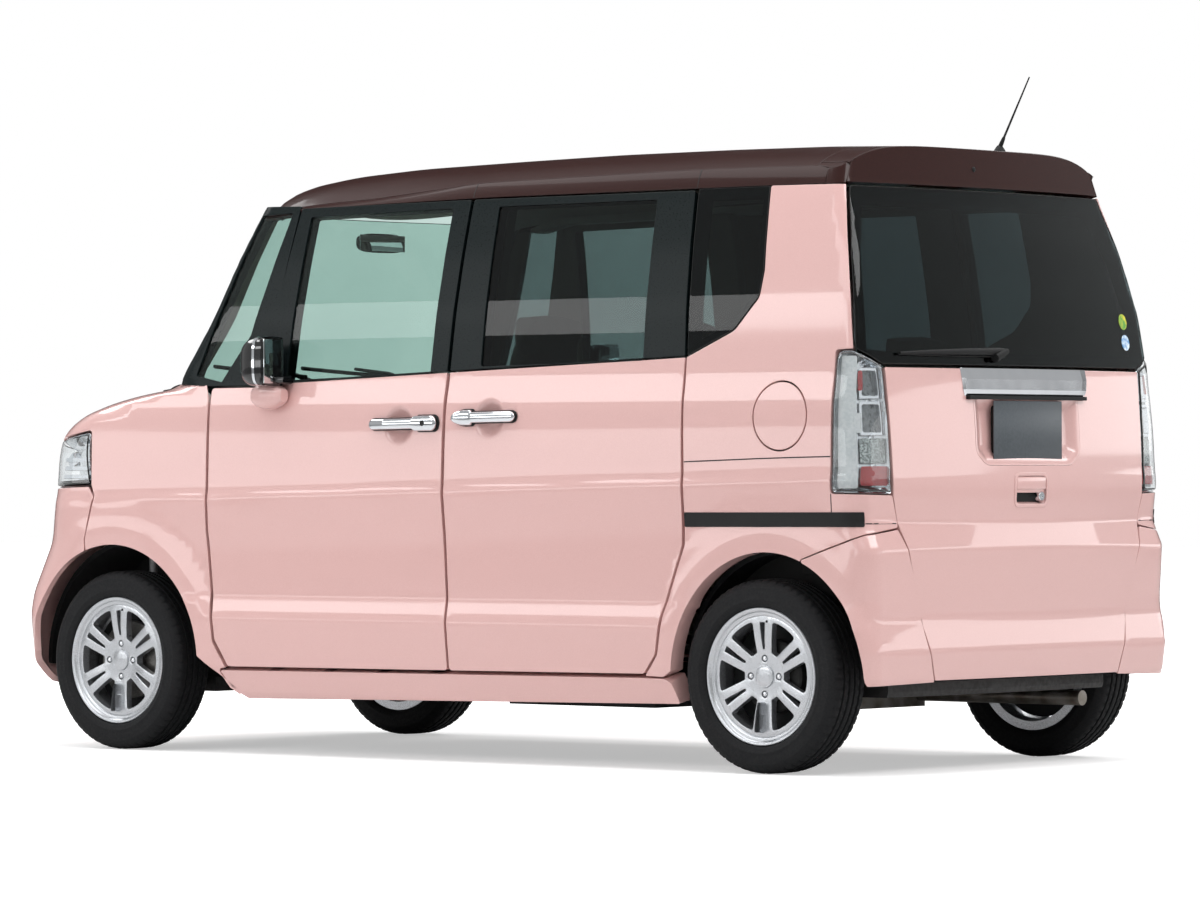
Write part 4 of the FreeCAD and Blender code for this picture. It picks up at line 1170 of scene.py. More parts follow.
def solid(name, body, materials, parts, sharp=35):
    """One piece from several parts; a part is its points, its faces and its place in the materials."""
    verts, faces, places, base = [], [], [], 0
    for part in parts:
        verts.append(part[0])
        faces += [tuple(i + base for i in face) for face in part[1]]
        places += [part[2] if len(part) > 2 else 0] * len(part[1])
        base += len(part[0])
    thing = new_object(name, np.concatenate(verts), faces, body,
                       materials if isinstance(materials, (list, tuple)) else [materials], places)
    shape = bmesh.new()
    shape.from_mesh(thing.data)
    bmesh.ops.recalc_face_normals(shape, faces=shape.faces)
    shape.to_mesh(thing.data)
    shape.free()
    thing.data.set_sharp_from_angle(angle=math.radians(sharp))
    return thing


def in_pairs(name, bodies, materials, parts, sharp=35):
    """The same piece on the left and, mirrored, on the right."""
    made = [solid(f"{name}_left", bodies.format("left"), materials, parts, sharp)]
    other = [(part[0] * (1, -1, 1), *part[1:]) for part in parts]
    return made + [solid(f"{name}_right", bodies.format("right"), materials, other, sharp)]


AXIS_BACK = Matrix.Rotation(math.pi / 2, 3, "Z")       # a lathe's +Y turned to point backwards
AXIS_AHEAD = Matrix.Rotation(-math.pi / 2, 3, "Z")
AXIS_UP = Matrix.Rotation(math.pi / 2, 3, "X")

# ---------------------------------------------------------------- wheels
RIM_SEAT, RIM_LIP = 178, 194
TREAD_HALF = 56
GROOVES = (36, 12, -12, -36)      # middles of the tread's four grooves


def tyre_profile():
    """Section round the tyre from its outer bead over the tread to its inner bead."""
    wall = [(RIM_SEAT + 1, 58), (RIM_LIP + 1, 62), (RIM_LIP + 2, 67), (199, 71), (205, 74.5),
            (212, 76.6), (214, 77.7), (217, 77.9), (219, 77.0), (229, 77.8), (239, 77.2), (245, 75.8),
            (247, 76.3), (250, 75.0), (256, 71.5), (262, 67), (266, 63), (269, 59.5), (271, TREAD_HALF)]
    tread = []
    for groove in GROOVES:
        crown = 273.7 - 1.2 * (groove / TREAD_HALF) ** 2
        tread += [(crown, groove + 6), (crown - 0.6, groove + 4.2), (crown - 6.5, groove + 3),
                  (crown - 6.5, groove - 3), (crown - 0.6, groove - 4.2), (crown, groove - 6)]
    return wall + tread + [(r, -y) for r, y in wall[::-1]]


def tread_lift(k, radius, along):
    """Sipes cut across the shoulders and ribs, and fine ribs round the shoulder of each wall."""
    if abs(along) > 41 and radius > 262:
        return -3.4 if k % 5 == 0 else 0.0
    if 17 < abs(along) < 31 and radius > 270:
        return -2.6 if (k + (3 if along > 0 else 0)) % 5 == 0 else 0.0
    if 245 < radius < 262:
        return 0.5 if k % 2 else -0.3
    return 0.0


def polar(radius, degrees):
    return radius * math.cos(math.radians(degrees)), radius * math.sin(math.radians(degrees))


def spoke_face(a, b):
    """Outer face of the spokes: dished at the hub, full at two thirds out, each pair ridged."""
    r = np.hypot(a, b)
    dish = np.interp(r, (0, 34, 60, 110, 150, 172), (50, 50, 51, 56.5, 59, 56))
    ridge = 2.4 * np.cos(3 * (np.arctan2(b, a) - math.pi / 2)) ** 2 * step(r, 60, 110)
    return np.stack([np.asarray(a, float), dish - 2 + ridge, np.asarray(b, float)], -1)


def wheel_openings():
    """Wide windows between the six spoke pairs, a slot inside each pair, and the nut holes."""
    holes = []
    for k in range(6):
        window = 60 * k
        holes.append(rounded([(*polar(157, window + d), 8 if abs(d) > 10 else 0)
                              for d in (-17, -8.5, 0, 8.5, 17)] +
                             [(*polar(70, window + d), 5) for d in (9, -9)]))
        pair = window + 30
        holes.append(rounded([(*polar(153, pair - 3.6), 4), (*polar(153, pair + 3.6), 4),
                              (*polar(76, pair + 2.8), 3), (*polar(76, pair - 2.8), 3)]))
    for k in range(4):
        holes.append(ring(*polar(50, 90 * k), 10.5, 10.5, 0, 340, 17))
    return holes


def wheel_parts():
    """Rim barrel, spoked face, plain centre cap, four nuts, the valve, and a black disc behind the spokes
    that is painted shade for the wheel's dark inside.
    """
    barrel = [(RIM_SEAT - 1, -62), (RIM_LIP, -62), (RIM_LIP, -66), (168, -66), (164, -40), (158, 20),
              (160, 38), (164, 50), (169, 53.5), (171, 57), (175, 59), (179, 59), (181, 62.5), (184, 65.5),
              (188, 67.4), (192, 67.4), (RIM_LIP, 65.5), (RIM_LIP, 62), (RIM_SEAT - 1, 60)]
    spokes = Patch().add(spoke_face, ring(0, 0, 171, 171, 0, 356, 89), wheel_openings(), depth=24,
                         spacing=7, gap=0.0, edge=2.6)
    cap = lathe([(33, 44), (33, 50), (31.5, 52.5), (29, 53), (28, 52.4), (27, 53), (14, 54.5), (1, 55)], 48)
    nut = lathe([(9.0, 30), (9.0, 45), (8.4, 46.5), (6.5, 49), (3.2, 50.6), (0.5, 51)], 6)
    parts = [(*lathe(barrel, 96, closed=True), 0), (np.concatenate(spokes.verts), spokes.faces, 0), (*cap, 0)]
    for k in range(4):
        x, z = polar(50, 90 * k)
        parts.append(moved((*nut, 1), (x, 0, z)))
    valve = []
    for radius, y in ((166, 46), (153, 60)):
        x, z = polar(radius, 96)
        valve.append((x, y, z))
    # black disc behind the spokes: painted shade of the wheel's inside
    shade_disc = lathe([(30, -12), (156, -12), (156, -15), (30, -15)], 60, closed=True)
    return parts + [(*rod(valve, 3.4), 2), (*shade_disc, 2)]


TYRE = lathe(tyre_profile(), 300, tread_lift, closed=True)
WHEEL = wheel_parts()
DISC = lathe([(62, 30), (62, 8), (66, 6), (118, 6), (120, 4), (120, -8), (118, -10), (40, -10), (40, 30)], 72,
             closed=True)
DRUM = lathe([(40, 24), (62, 24), (66, 18), (98, 16), (104, 10), (104, -14), (96, -18), (40, -18)], 72,
             closed=True)
for end in ("front", "rear"):
    for side, turn in (("left", 0.0), ("right", math.pi)):
        axle = AXLES[end]
        hub = (axle.x, axle.y if side == "left" else -axle.y, axle.z)
        facing = Matrix.Rotation(turn, 3, "Z")
        body = f"wheel_{end}_{side}"
        tyre = solid(f"{end}_tyre_{side}", body, tyre_rubber, [moved(TYRE, hub, facing)], 40)
        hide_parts(f"{end}_{side}_tyre")
        wheel = solid(f"{end}_alloy_wheel_{side}", body, [alloy, chrome, black_plastic],
                      [moved(part, hub, facing) for part in WHEEL], 32)
        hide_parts(f"{end}_{side}_wheel")
        brake = DISC if end == "front" else DRUM
        solid(f"{end}_brake_{side}", body, turned_iron if end == "front" else black_steel,
              [moved(brake, hub, facing)], 32)

# ---------------------------------------------------------------- seams drawn as painted shade lines, rail and door handles


def strip(line, width):
    """Outline of a narrow strip of a given width along a line."""
    line = np.array(line, float)
    way = np.gradient(line, axis=0)
    side = np.stack([-way[:, 1], way[:, 0]], -1)
    side /= np.hypot(*side.T)[:, None]
    return np.concatenate([line + side * width / 2, (line - side * width / 2)[::-1]])


# dark strips laid on the skin where the panel seams run: painted shade of the gaps
SEAM_SHADE_LINES = (
    # name, points along the side, width
    ("rail_cover_seam_shade", [(-1016, 876), (-1150, 880), (-1280, 884), (-1410, 887), (-1538, 889)], 3.4),
    ("lamp_foot_seam_shade", [(-1541, 786), (-1541, 735)], 3.0),
    ("bumper_top_seam_shade", [(-1640, 703), (-1660, 703), (tail_u(584, 703), 703)], 3.0),
)
for name, line, width in SEAM_SHADE_LINES:
    panel(name, "body", skin, strip(line, width), seal_rubber_and_gap_shade, depth=3, gap=0, edge=0.2, sink=-0.5, radius=0,
          spacing=8)
panel("slide_rail", "body", skin, [(-1017, 733), (-1017, 692), (-1641, 694), (-1641, 735)], black_plastic,
      depth=8, gap=0, sink=-2.5, radius=3, edge=1.5)


def handle_parts(front, back, height, cap_ahead):
    """Pull bar, the fixed cap at one end, and the dark gasket round them, which also stands for the shadow
    round the handle (painted shadow).
    """
    length = front - back
    bar, gasket_and_shadow = [], []
    for t in np.linspace(0, 1, 61):
        x = front - length * t
        side = float(skin(x, height)[1])
        cap = float(1 - step(t, 0.31, 0.35) if cap_ahead else step(t, 0.66, 0.70))
        point = float(step(t, -0.05, 0.2)) if cap_ahead else 1.0
        near = min(t, 1 - t) * length
        taper = math.sqrt(max(1 - (1 - min(near / 20, 1)) ** 2, 0.006))
        high = (15.5 + 7.0 * cap) * (0.45 + 0.55 * point)
        stand = 11 + 10 * min(near / 70, 1) * (1 - cap) + 4 * cap
        bar.append(((x, side + stand, height + 3 * t), high * taper, (7 + 3 * cap) * taper))
        # the gasket stands a little wider than the bar: a real gasket and a painted shadow round the handle
        gasket_and_shadow.append(((x + 3 - 6 * t, side + 2, height + 3 * t), (high + 3.2) * taper, 4 * taper))
    return [(*loft(bar, 0.8), 0), (*loft(gasket_and_shadow), 1)]


for name, bodies, front, back, height, cap_ahead, keyed in HANDLES:
    parts = handle_parts(front, back, height, cap_ahead)
    if keyed:
        x = back + 46
        lock = lathe([(0.5, 0.6), (8, 0.6), (9, -2), (9, -8)], 28)
        parts.append(moved((*lock, 1), (x, float(skin(x, height)[1]) + 25.4, height + 3)))
    in_pairs(name, bodies, [chrome, black_plastic], parts)

# ---------------------------------------------------------------- tail lamps


LAMP_FRONT = -1545
TAIL_LAMP = [(LAMP_FRONT, 793, 8), (LAMP_FRONT, 1180, 22), (u_at(1182, x=-1592), 1180, 8),
             (tail_u(619, 1143), 1141, 8), (tail_u(612, 1000), 1000, 0), (tail_u(607, 783), 788, 6)]


def lamp_u(share, z):
    """u a share of the way across the lamp, from its front edge to the tailgate."""
    inner = np.interp(z, [p[1] for p in TAIL_LAMP[:2:-1]], [p[0] for p in TAIL_LAMP[:2:-1]])
    return LAMP_FRONT + (inner - LAMP_FRONT) * share


def window(low, high, left, right, frame_width=0.0):
    """Four-sided outline in the lamp, drawn in by the width of a frame."""
    return [(lamp_u(left, low) - frame_width, low + frame_width, 7),
            (lamp_u(left, high) - frame_width, high - frame_width, 7),
            (lamp_u(right, high) + frame_width, high - frame_width, 7),
            (lamp_u(right, low) + frame_width, low + frame_width, 7)]


panel("tail_lamp_lens", "body", skin, TAIL_LAMP, lens, edge_material=gloss_black, depth=3, sink=-1, gap=2.0,
      edge=4.0, radius=0)
panel("tail_lamp_bowl", "body", sunk(skin, TAIL_LAMP, 34, 16), TAIL_LAMP, reflector, depth=3, sink=6, gap=1.0,
      radius=0, spacing=8, edge=0.8)
LAMP_CELLS = (
    # name, low, high, left share, right share, frame width, depth below the lens, thickness, finish
    ("tail_guide", 800, 1170, 0.06, 0.42, 0, 12, 14, diffuser),
    ("tail_guide_step", 955, 1010, 0.36, 0.50, 0, 10, 14, diffuser),
    ("tail_frame_high", 1050, 1136, 0.47, 0.94, 8, 11, 20, chrome),
    ("tail_frame_mid", 948, 1042, 0.47, 0.95, 8, 11, 20, chrome),
    ("tail_back_high", 1052, 1134, 0.48, 0.93, 0, 26, 3, smoked_cell),
    ("tail_back_mid", 950, 1040, 0.48, 0.94, 0, 26, 3, smoked_cell),
    ("tail_red_bar", 1072, 1128, 0.44, 0.54, 0, 9, 8, red_lens),
    # this cell's finish paints the facets' sparkle into its colour
    ("tail_crystal", 870, 940, 0.46, 0.96, 0, 13, 10, painted_sparkle_optics),
    ("tail_reflex", 808, 862, 0.46, 0.97, 0, 8, 12, red_lens),
)
for name, low, high, left, right, width, sink, thick, material in LAMP_CELLS:
    panel(name, "body", skin, window(low, high, left, right), material,
          holes=[window(low, high, left, right, width)] if width else [], sink=sink, depth=thick, gap=0.0,
          radius=0, spacing=14)

# ---------------------------------------------------------------- headlamps
LAMP_SIDE = 1338
HEAD_LAMP = [(nose_a(970, LAMP_SIDE), 970, 14), (nose_a(814, LAMP_SIDE), 814, 8), (LAMP_INNER - 6, 798, 16),
             (LAMP_INNER - 6, 904, 18), (nose_a(942, 1502), 944, 8)]
panel("headlamp_lens", "body", around_nose, HEAD_LAMP, lens, edge_material=gloss_black, depth=3, sink=-1,
      gap=2.0, edge=3.0, radius=0)
panel("headlamp_bowl", "body", sunk(around_nose, HEAD_LAMP, 58, 24), HEAD_LAMP, reflector, depth=3, sink=6,
      gap=1.0, radius=0, spacing=9, edge=0.8)
for number, low in enumerate((830, 856, 882)):
    near, far = nose_a(low, LAMP_SIDE + 14), nose_a(low, 1478 - number * 6)
    panel(f"headlamp_bar_{number}", "body", around_nose,
          [(near, low, 4), (near, low + 13, 4), (far, low + 13, 4), (far, low, 4)], chrome, depth=24, sink=9,
          gap=0, radius=0)
panel("headlamp_chin", "body", around_nose,
      [(nose_a(814, LAMP_SIDE + 6), 817), (LAMP_INNER, 801), (LAMP_INNER, 812),
       (nose_a(826, LAMP_SIDE + 6), 828)], gloss_black, depth=20, sink=4, gap=0, radius=3)


def projector(y, z, radius):
    """Round lamp facing ahead: chrome cup, and a bulb shade in its middle."""
    x = nose_face(y, z) - 16
    cup = [(radius, 0), (radius - 2, 3), (radius * 0.92, -10), (radius * 0.72, -26), (radius * 0.42, -38),
           (1, -40), (1, -44), (radius * 0.5, -42), (radius * 0.8, -30), (radius, -12)]
    shade = [(0.5, -12), (radius * 0.20, -14), (radius * 0.26, -20), (radius * 0.2, -39)]
    return [moved((*lathe(cup, 40, closed=True), 0), (x, y, z), AXIS_AHEAD),
            moved((*lathe(shade, 24), 1), (x, y, z), AXIS_AHEAD)]


in_pairs("headlamp_projector", "body", [chrome, smoked_cell],
         projector(512, 858, 40) + projector(590, 884, 30), 60)

# filler pocket behind the flap
filler_y = float(skin(FLAP_X, FLAP_Z)[1]) - 12
pocket = lathe([(86, 0), (88, 0), (86, -46), (60, -56), (1, -56), (1, -58), (62, -58), (92, -48)], 48,
               closed=True)
pocket_trim = lathe([(104, -49), (104, -52), (98, -54), (94, -62), (1, -62), (1, -60), (92, -60),
                     (95, -49)], 48, closed=True)
filler_cap = lathe([(0.5, -22), (10, -22), (12, -24), (30, -26), (33, -30), (33, -54)], 36)
solid("fuel_filler_pocket", "body", [black_plastic, gloss_black, cabin_trim],
      [moved((*part, place), (FLAP_X, filler_y, FLAP_Z))
       for place, part in enumerate((pocket, filler_cap, pocket_trim))])

# ---------------------------------------------------------------- tailgate fittings


def tail_x(y, z):
    """x of the tail's face at a place."""
    return float(around_tail(y, z)[0])


for name, half, deep, ramp, spacing in (("plate_recess_dish", PLATE_RECESS, 26, 46, 10),
                                        ("handle_recess_dish", HANDLE_RECESS, 30, 10, 6)):
    across(name, "tailgate", sunk(around_tail, both_sides(half), deep, ramp), half, pink_paint, depth=3,
           gap=-1.5, edge=0.5, spacing=spacing)
across("handle_surround", "tailgate", around_tail, [(82, 844, 22), (82, 744, 22)], pink_paint,
       holes=[[(72, 834, 14), (72, 754, 14)]], depth=5, sink=-2.4, gap=0, edge=2.4, spacing=8)
pull_x = tail_x(0, 800)
lock = lathe([(0.5, 3), (5, 3), (5.5, 5), (12, 5), (14, 2), (14, -22)], 32)
solid("tailgate_pull", "tailgate", [pink_paint, chrome, black_plastic],
      [(*block((pull_x - 1, -71, 795), (pull_x + 12, 71, 833), 5), 0),
       (*block((pull_x + 4, -66, 786), (pull_x + 14, 66, 799), 3), 0),
       # dark block at the back of the hollow under the hood: painted shade of the hollow
       (*block((pull_x + 20, -70, 754), (pull_x + 27, 70, 800), 3), 2),
       moved((*lock, 1), (pull_x + 6, -52, 776), AXIS_BACK)])

GARNISH_ROWS = (
    # height, how far it stands out, half length
    (1140, 1.0, 302), (1138, 6.0, 302), (1110, 14.5, 299), (1107, 15.5, 298), (1078, 13.0, 295),
    (1066, 9.0, 291), (1060, 1.0, 290))


def garnish_bar():
    """Bar over the plate: a wide upper facet, a lower one that turns under, and cut ends."""
    across = np.concatenate([(-1, -0.985, -0.9, -0.885), np.linspace(-0.8, 0.8, 17), (0.885, 0.9, 0.985, 1)])
    front, rear = [], []
    for z, stand, half in GARNISH_ROWS:
        out = stand * np.interp(np.abs(across), (0.885, 0.90, 0.985, 1.0), (1.0, 0.93, 0.62, 0.1))
        face = np.array([tail_x(y, z) for y in across * half])
        front.append(np.stack([face - out, across * half, np.full(len(across), float(z))], -1))
        rear.append(front[-1] + (out + 6)[:, None] * (1, 0, 0))
    count, rows = len(across), len(GARNISH_ROWS)
    verts = np.concatenate(front + rear)
    faces, back = [], rows * count
    for i in range(rows - 1):
        for j in range(count - 1):
            quad = (i * count + j, i * count + j + 1, (i + 1) * count + j + 1, (i + 1) * count + j)
            faces += [quad, tuple(v + back for v in quad[::-1])]
    rim = [(0, j) for j in range(count)] + [(i, count - 1) for i in range(1, rows)]
    rim += [(rows - 1, j) for j in range(count - 2, -1, -1)] + [(i, 0) for i in range(rows - 2, 0, -1)]
    rim = [i * count + j for i, j in rim]
    for here, after in zip(rim, rim[1:] + rim[:1]):
        faces.append((here, after, after + back, here + back))
    return verts, faces


garnish_x = tail_x(0, 1056)
solid("tailgate_bar", "tailgate", [chrome, black_plastic],
      [(*garnish_bar(), 0),
       (*block((garnish_x - 6, -284, 1050), (garnish_x + 26, 284, 1061), 2), 1)], sharp=8)

low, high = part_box("number_plate")
back_face, front_face = high.x / MM, low.x / MM
edge_y, low_z, high_z = high.y / MM, low.z / MM, high.z / MM
solid("blank_plate", "tailgate", [plate_blank, black_plastic],
      [(*block((front_face, -edge_y, low_z), (back_face, edge_y, high_z), 1.2, 2), 0),
       (*block((front_face + 1, -110, low_z - 6), (back_face + 12, -82, low_z + 10), 2), 1),
       (*block((front_face + 1, 82, low_z - 6), (back_face + 12, 110, low_z + 10), 2), 1),
       (*block((back_face, -edge_y + 14, low_z + 14), (back_face + 20, edge_y - 14, high_z - 14), 4), 1)])

WIPER_TIP = 556


def on_glass(line, off):
    """Points standing off the tail's face along a line of (y, height)."""
    return [(tail_x(y, z) - off, y, z) for y, z in line]


wiper_blade = rod(on_glass([(104, 1186), (130, 1186), (260, 1184), (420, 1181), (WIPER_TIP, 1177)], 10),
                  (9, 11, 10, 7, 3.5))
wiper_arm = rod(on_glass([(100, 1188), (128, 1178), (156, 1168)], 16), (8, 12, 10))
wiper_lip = rod(on_glass([(150, 1172), (300, 1171), (440, 1172), (WIPER_TIP, 1174)], 3.5), 2.4)
pivot_cap = moved(lathe([(0.5, 6), (9, 5.4), (14, 3), (16, -3), (16, -18)], 28),
                  on_glass([(140, 1172)], 11)[0], AXIS_BACK)
solid("rear_wiper_arm", "tailgate", black_plastic, [wiper_arm, wiper_blade, wiper_lip, pivot_cap])

AERIAL_X, AERIAL_Y = -1505, -111
AERIAL_LEAN = math.radians(28)
foot_z = float(roof_height(AERIAL_X, AERIAL_Y))
mast = [(AERIAL_X - math.sin(AERIAL_LEAN) * d, AERIAL_Y, foot_z + 10 + math.cos(AERIAL_LEAN) * d)
        for d in (0, 18, 30, 36, 120, 226)]
aerial_boot = lathe([(0.5, 18), (7, 17), (12, 10), (17, 2), (18, -6)], 28)
solid("roof_aerial", "tailgate", black_plastic,
      [rod(mast, (7, 6, 5, 3.4, 2.8, 2.0)), moved(aerial_boot, (AERIAL_X, AERIAL_Y, foot_z), AXIS_UP)])
jet = lathe([(0.5, 5), (5, 4.5), (8, 1), (8, -4)], 20)
solid("washer_jet", "tailgate", black_plastic, [moved(jet, (tail_x(62, 1708) + 1, 62, 1708), AXIS_BACK)])
for name, height, material in (("green_disc_sticker", 1283, green_vinyl),
                               ("blue_disc_sticker", 1222, blue_vinyl)):
    panel(name, "tailgate", around_tail, disc(-562, height, 23), material, depth=0.8, gap=0,
          edge=0.1, sink=0.6, mirrored=False, radius=0, spacing=12)

# ---------------------------------------------------------------- door mirrors
MIRROR_REAR, MIRROR_FRONT = 522, 640
housing = []
for t in np.linspace(0, 1, 18):
    fall = math.sqrt(max(1 - (max(t - 0.25, 0) / 0.78) ** 2.6, 0.01))
    x = MIRROR_REAR + (MIRROR_FRONT - MIRROR_REAR) * t
    housing.append(((x, 786 - 6 * t, 1180 - 4 * t), 74 * fall, 51 * fall))
band = loft([((x, 786, 1180), 74.8, 51.8) for x in (548, 550, 556, 558)], 0.5, 32)
bezel = block((520.5, 738, 1108), (530, 834, 1252), 8, 4)
mirror_glass = block((-2, -43, -66), (2, 43, 66), 1.2)
glass_turn = Matrix.Rotation(math.radians(7), 3, "Z")
base = loft([((498 + 130 * t, 742, 1124), 13, 40 * math.sin(math.pi * (0.2 + 0.6 * t)))
             for t in np.linspace(0, 1, 9)], 0.8)
skirt = []
for t in np.linspace(0, 1, 15):
    swell = math.sin(math.pi * (0.06 + 0.88 * t)) ** 0.45
    skirt.append(((508 + 124 * t, 748, 1078), 40 * swell, 34 * swell))
in_pairs("door_mirror_body", "front_door_{}", [gloss_black, chrome, pink_paint, silvered_glass],
         [(*loft(housing, 0.5, 32), 0), (*band, 1), (*bezel, 0), (*base, 0), (*loft(skirt, 0.75, 28), 2),
          moved((*mirror_glass, 3), (522.5, 786, 1180), glass_turn)], 50)

# ---------------------------------------------------------------- front end
GRILLE_HALF = LAMP_INNER - 8


def nose_bar(name, half, low, high, corner, material, **shape):
    """Bar across the nose between two heights."""
    across(name, "body", around_nose, [(half, high, corner), (half, low, corner)], material, gap=0, **shape)


nose_bar("grille_back", GRILLE_HALF, 797, 903, 10, black_plastic, depth=4, sink=34)
for number, low in enumerate((800, 818, 872, 889)):
    nose_bar(f"grille_bar_{number}", GRILLE_HALF, low, low + 11, 3, gloss_black, depth=26, sink=8)
nose_bar("grille_chrome_bar", GRILLE_HALF, 836, 866, 6, chrome, depth=28, sink=3, edge=4)
badge = lathe([(0.5, 3), (34, 3), (40, 1), (42, -3), (42, -14)], 48)
solid("grille_badge_blank", "body", chrome, [moved(badge, (nose_face(0, 851) - 1, 0, 851), AXIS_AHEAD)])
across("intake_back", "body", around_nose, [(402, 438, 28), (432, 298, 28)], black_plastic, depth=4,
       sink=46, gap=-14)
for number, low in enumerate((318, 348, 378, 408)):
    nose_bar(f"intake_bar_{number}", 410 + (430 - low) * 0.2, low, low + 9, 3, black_plastic, depth=22,
             sink=16)
FOG_LAMP = (505, 372)
in_pairs("fog_lamp", "body", [chrome, smoked_cell], projector(*FOG_LAMP, 34), 60)
panel("fog_surround", "body", around_nose, disc(*FOG_LAMP, 46), gloss_black, holes=[disc(*FOG_LAMP, 34)],
      depth=14, sink=-1.5, gap=0, radius=0, spacing=10)
plate_x = nose_face(0, 520)
solid("front_plate_bracket", "body", black_plastic, [
    (*block((plate_x - 12, -150, 468), (plate_x + 2, 150, 478), 2), 0),
    (*block((plate_x - 12, -40, 470), (plate_x + 0, 40, 560), 3), 0)])
panel("tow_eye_cover", "body", around_nose, disc(-330, 520, 24), pink_paint, depth=3, sink=-0.6, gap=0,
      mirrored=False, radius=0, spacing=8)


def on_screen(y, z, off):
    return nose_face(y, z) + off, y, z


def screen_blade(start, end, low, off, radius):
    """Bar that lies along the foot of the windscreen."""
    ways = zip(np.linspace(0, 1, 9), np.linspace(start, end, 9))
    return rod([on_screen(y, low + 26 * t, off) for t, y in ways], radius)


ARM_BENDS = ((0, 1128, 6), (0.08, 1140, 16), (0.3, 1162, 17), (0.65, 1176, 12))   # share, height, stand-off
for number, (pivot, tip) in enumerate(((-470, -20), (-30, 430))):
    arm = rod([on_screen(pivot + (tip - pivot) * t, z, off) for t, z, off in ARM_BENDS], (11, 8, 7, 5))
    blade = screen_blade(pivot + 60, tip + 90, 1150, 7, 5.5)
    lip = screen_blade(pivot + 60, tip + 90, 1145, 2.5, 2.2)
    hub = moved(lathe([(0.5, 8), (11, 7), (15, 2), (15, -14)], 24), on_screen(pivot, 1126, 6), AXIS_AHEAD)
    solid(f"front_wiper_{number}", "body", black_plastic, [arm, blade, lip, hub])

# ---------------------------------------------------------------- seats


def stuffed(low, high, crown, waist):
    """Closed crowned form between two corners: its broad faces swell and its edges draw in."""
    low, high = np.array(low, float), np.array(high, float)
    shape = bmesh.new()
    bmesh.ops.create_cube(shape, size=2.0)
    bmesh.ops.subdivide_edges(shape, edges=list(shape.edges), cuts=7, use_grid_fill=True)
    thin = int(np.argmin(high - low))
    wide = [axis for axis in range(3) if axis != thin]
    for v in shape.verts:
        p = np.array(v.co)
        a, b = p[wide[0]], p[wide[1]]
        swell = (1 - a * a) * (1 - b * b)
        p[thin] *= 0.74 + crown * swell
        rim = 1 - abs(p[thin])
        p[wide[0]] *= 1 - waist * (1 - b * b) * (0.4 + 0.6 * rim) - 0.07 * abs(b) ** 6
        p[wide[1]] *= 1 - waist * (1 - a * a) * (0.4 + 0.6 * rim) - 0.07 * abs(a) ** 6
        v.co = Vector((low + high) / 2 + p * (high - low) / 2)
    verts = np.array([tuple(v.co) for v in shape.verts])
    faces = [tuple(v.index for v in f.verts) for f in shape.faces]
    shape.free()
    return verts, faces


def inflated(thing, voxel, cap):
    """Fills a cover like foam: remeshed, blown up a little as cloth, no point moving beyond a cap."""
    scene = bpy.context.scene
    bpy.context.view_layer.objects.active = thing
    remesh = thing.modifiers.new("even_grid", "REMESH")
    remesh.mode = "VOXEL"
    remesh.voxel_size = voxel * MM
    bpy.ops.object.modifier_apply(modifier=remesh.name)
    count = len(thing.data.vertices)
    before = np.empty(count * 3)
    thing.data.vertices.foreach_get("co", before)
    cloth = thing.modifiers.new("filling", "CLOTH")
    cloth.settings.use_pressure = True
    cloth.settings.uniform_pressure_force = 4.0
    cloth.settings.effector_weights.gravity = 0.0
    cloth.settings.quality = 3
    cloth.settings.mass = 0.3
    cloth.point_cache.frame_start, cloth.point_cache.frame_end = 1, SIM_FRAMES
    for number in range(1, SIM_FRAMES + 1):
        scene.frame_set(number)
    blown = thing.evaluated_get(bpy.context.evaluated_depsgraph_get())
    after = np.empty(count * 3)
    blown.data.vertices.foreach_get("co", after)
    thing.modifiers.remove(cloth)
    scene.frame_set(1)
    move = (after - before).reshape(-1, 3)
    length = np.linalg.norm(move, axis=1)[:, None]
    move *= np.minimum(1, cap * MM / np.maximum(length, 1e-9))
    thing.data.vertices.foreach_set("co", (before.reshape(-1, 3) + move).ravel())
    thing.data.polygons.foreach_set("use_smooth", np.ones(len(thing.data.polygons), bool))
    thing.data.update()


def channelled(thing, axis, places, deep, width=9.0):
    """Sews channels: presses a soft groove into both broad faces along each place of an axis."""
    count = len(thing.data.vertices)
    points = np.empty(count * 3)
    normals = np.empty(count * 3)
    thing.data.vertices.foreach_get("co", points)
    thing.data.vertices.foreach_get("normal", normals)
    points, normals = points.reshape(-1, 3), normals.reshape(-1, 3)
    for place in places:
        off = (points[:, axis] / MM - place) / width
        press = deep * MM * np.exp(-off * off) * (1 - normals[:, axis] ** 2)
        points -= normals * press[:, None]
    thing.data.vertices.foreach_set("co", points.ravel())
    thing.data.update()


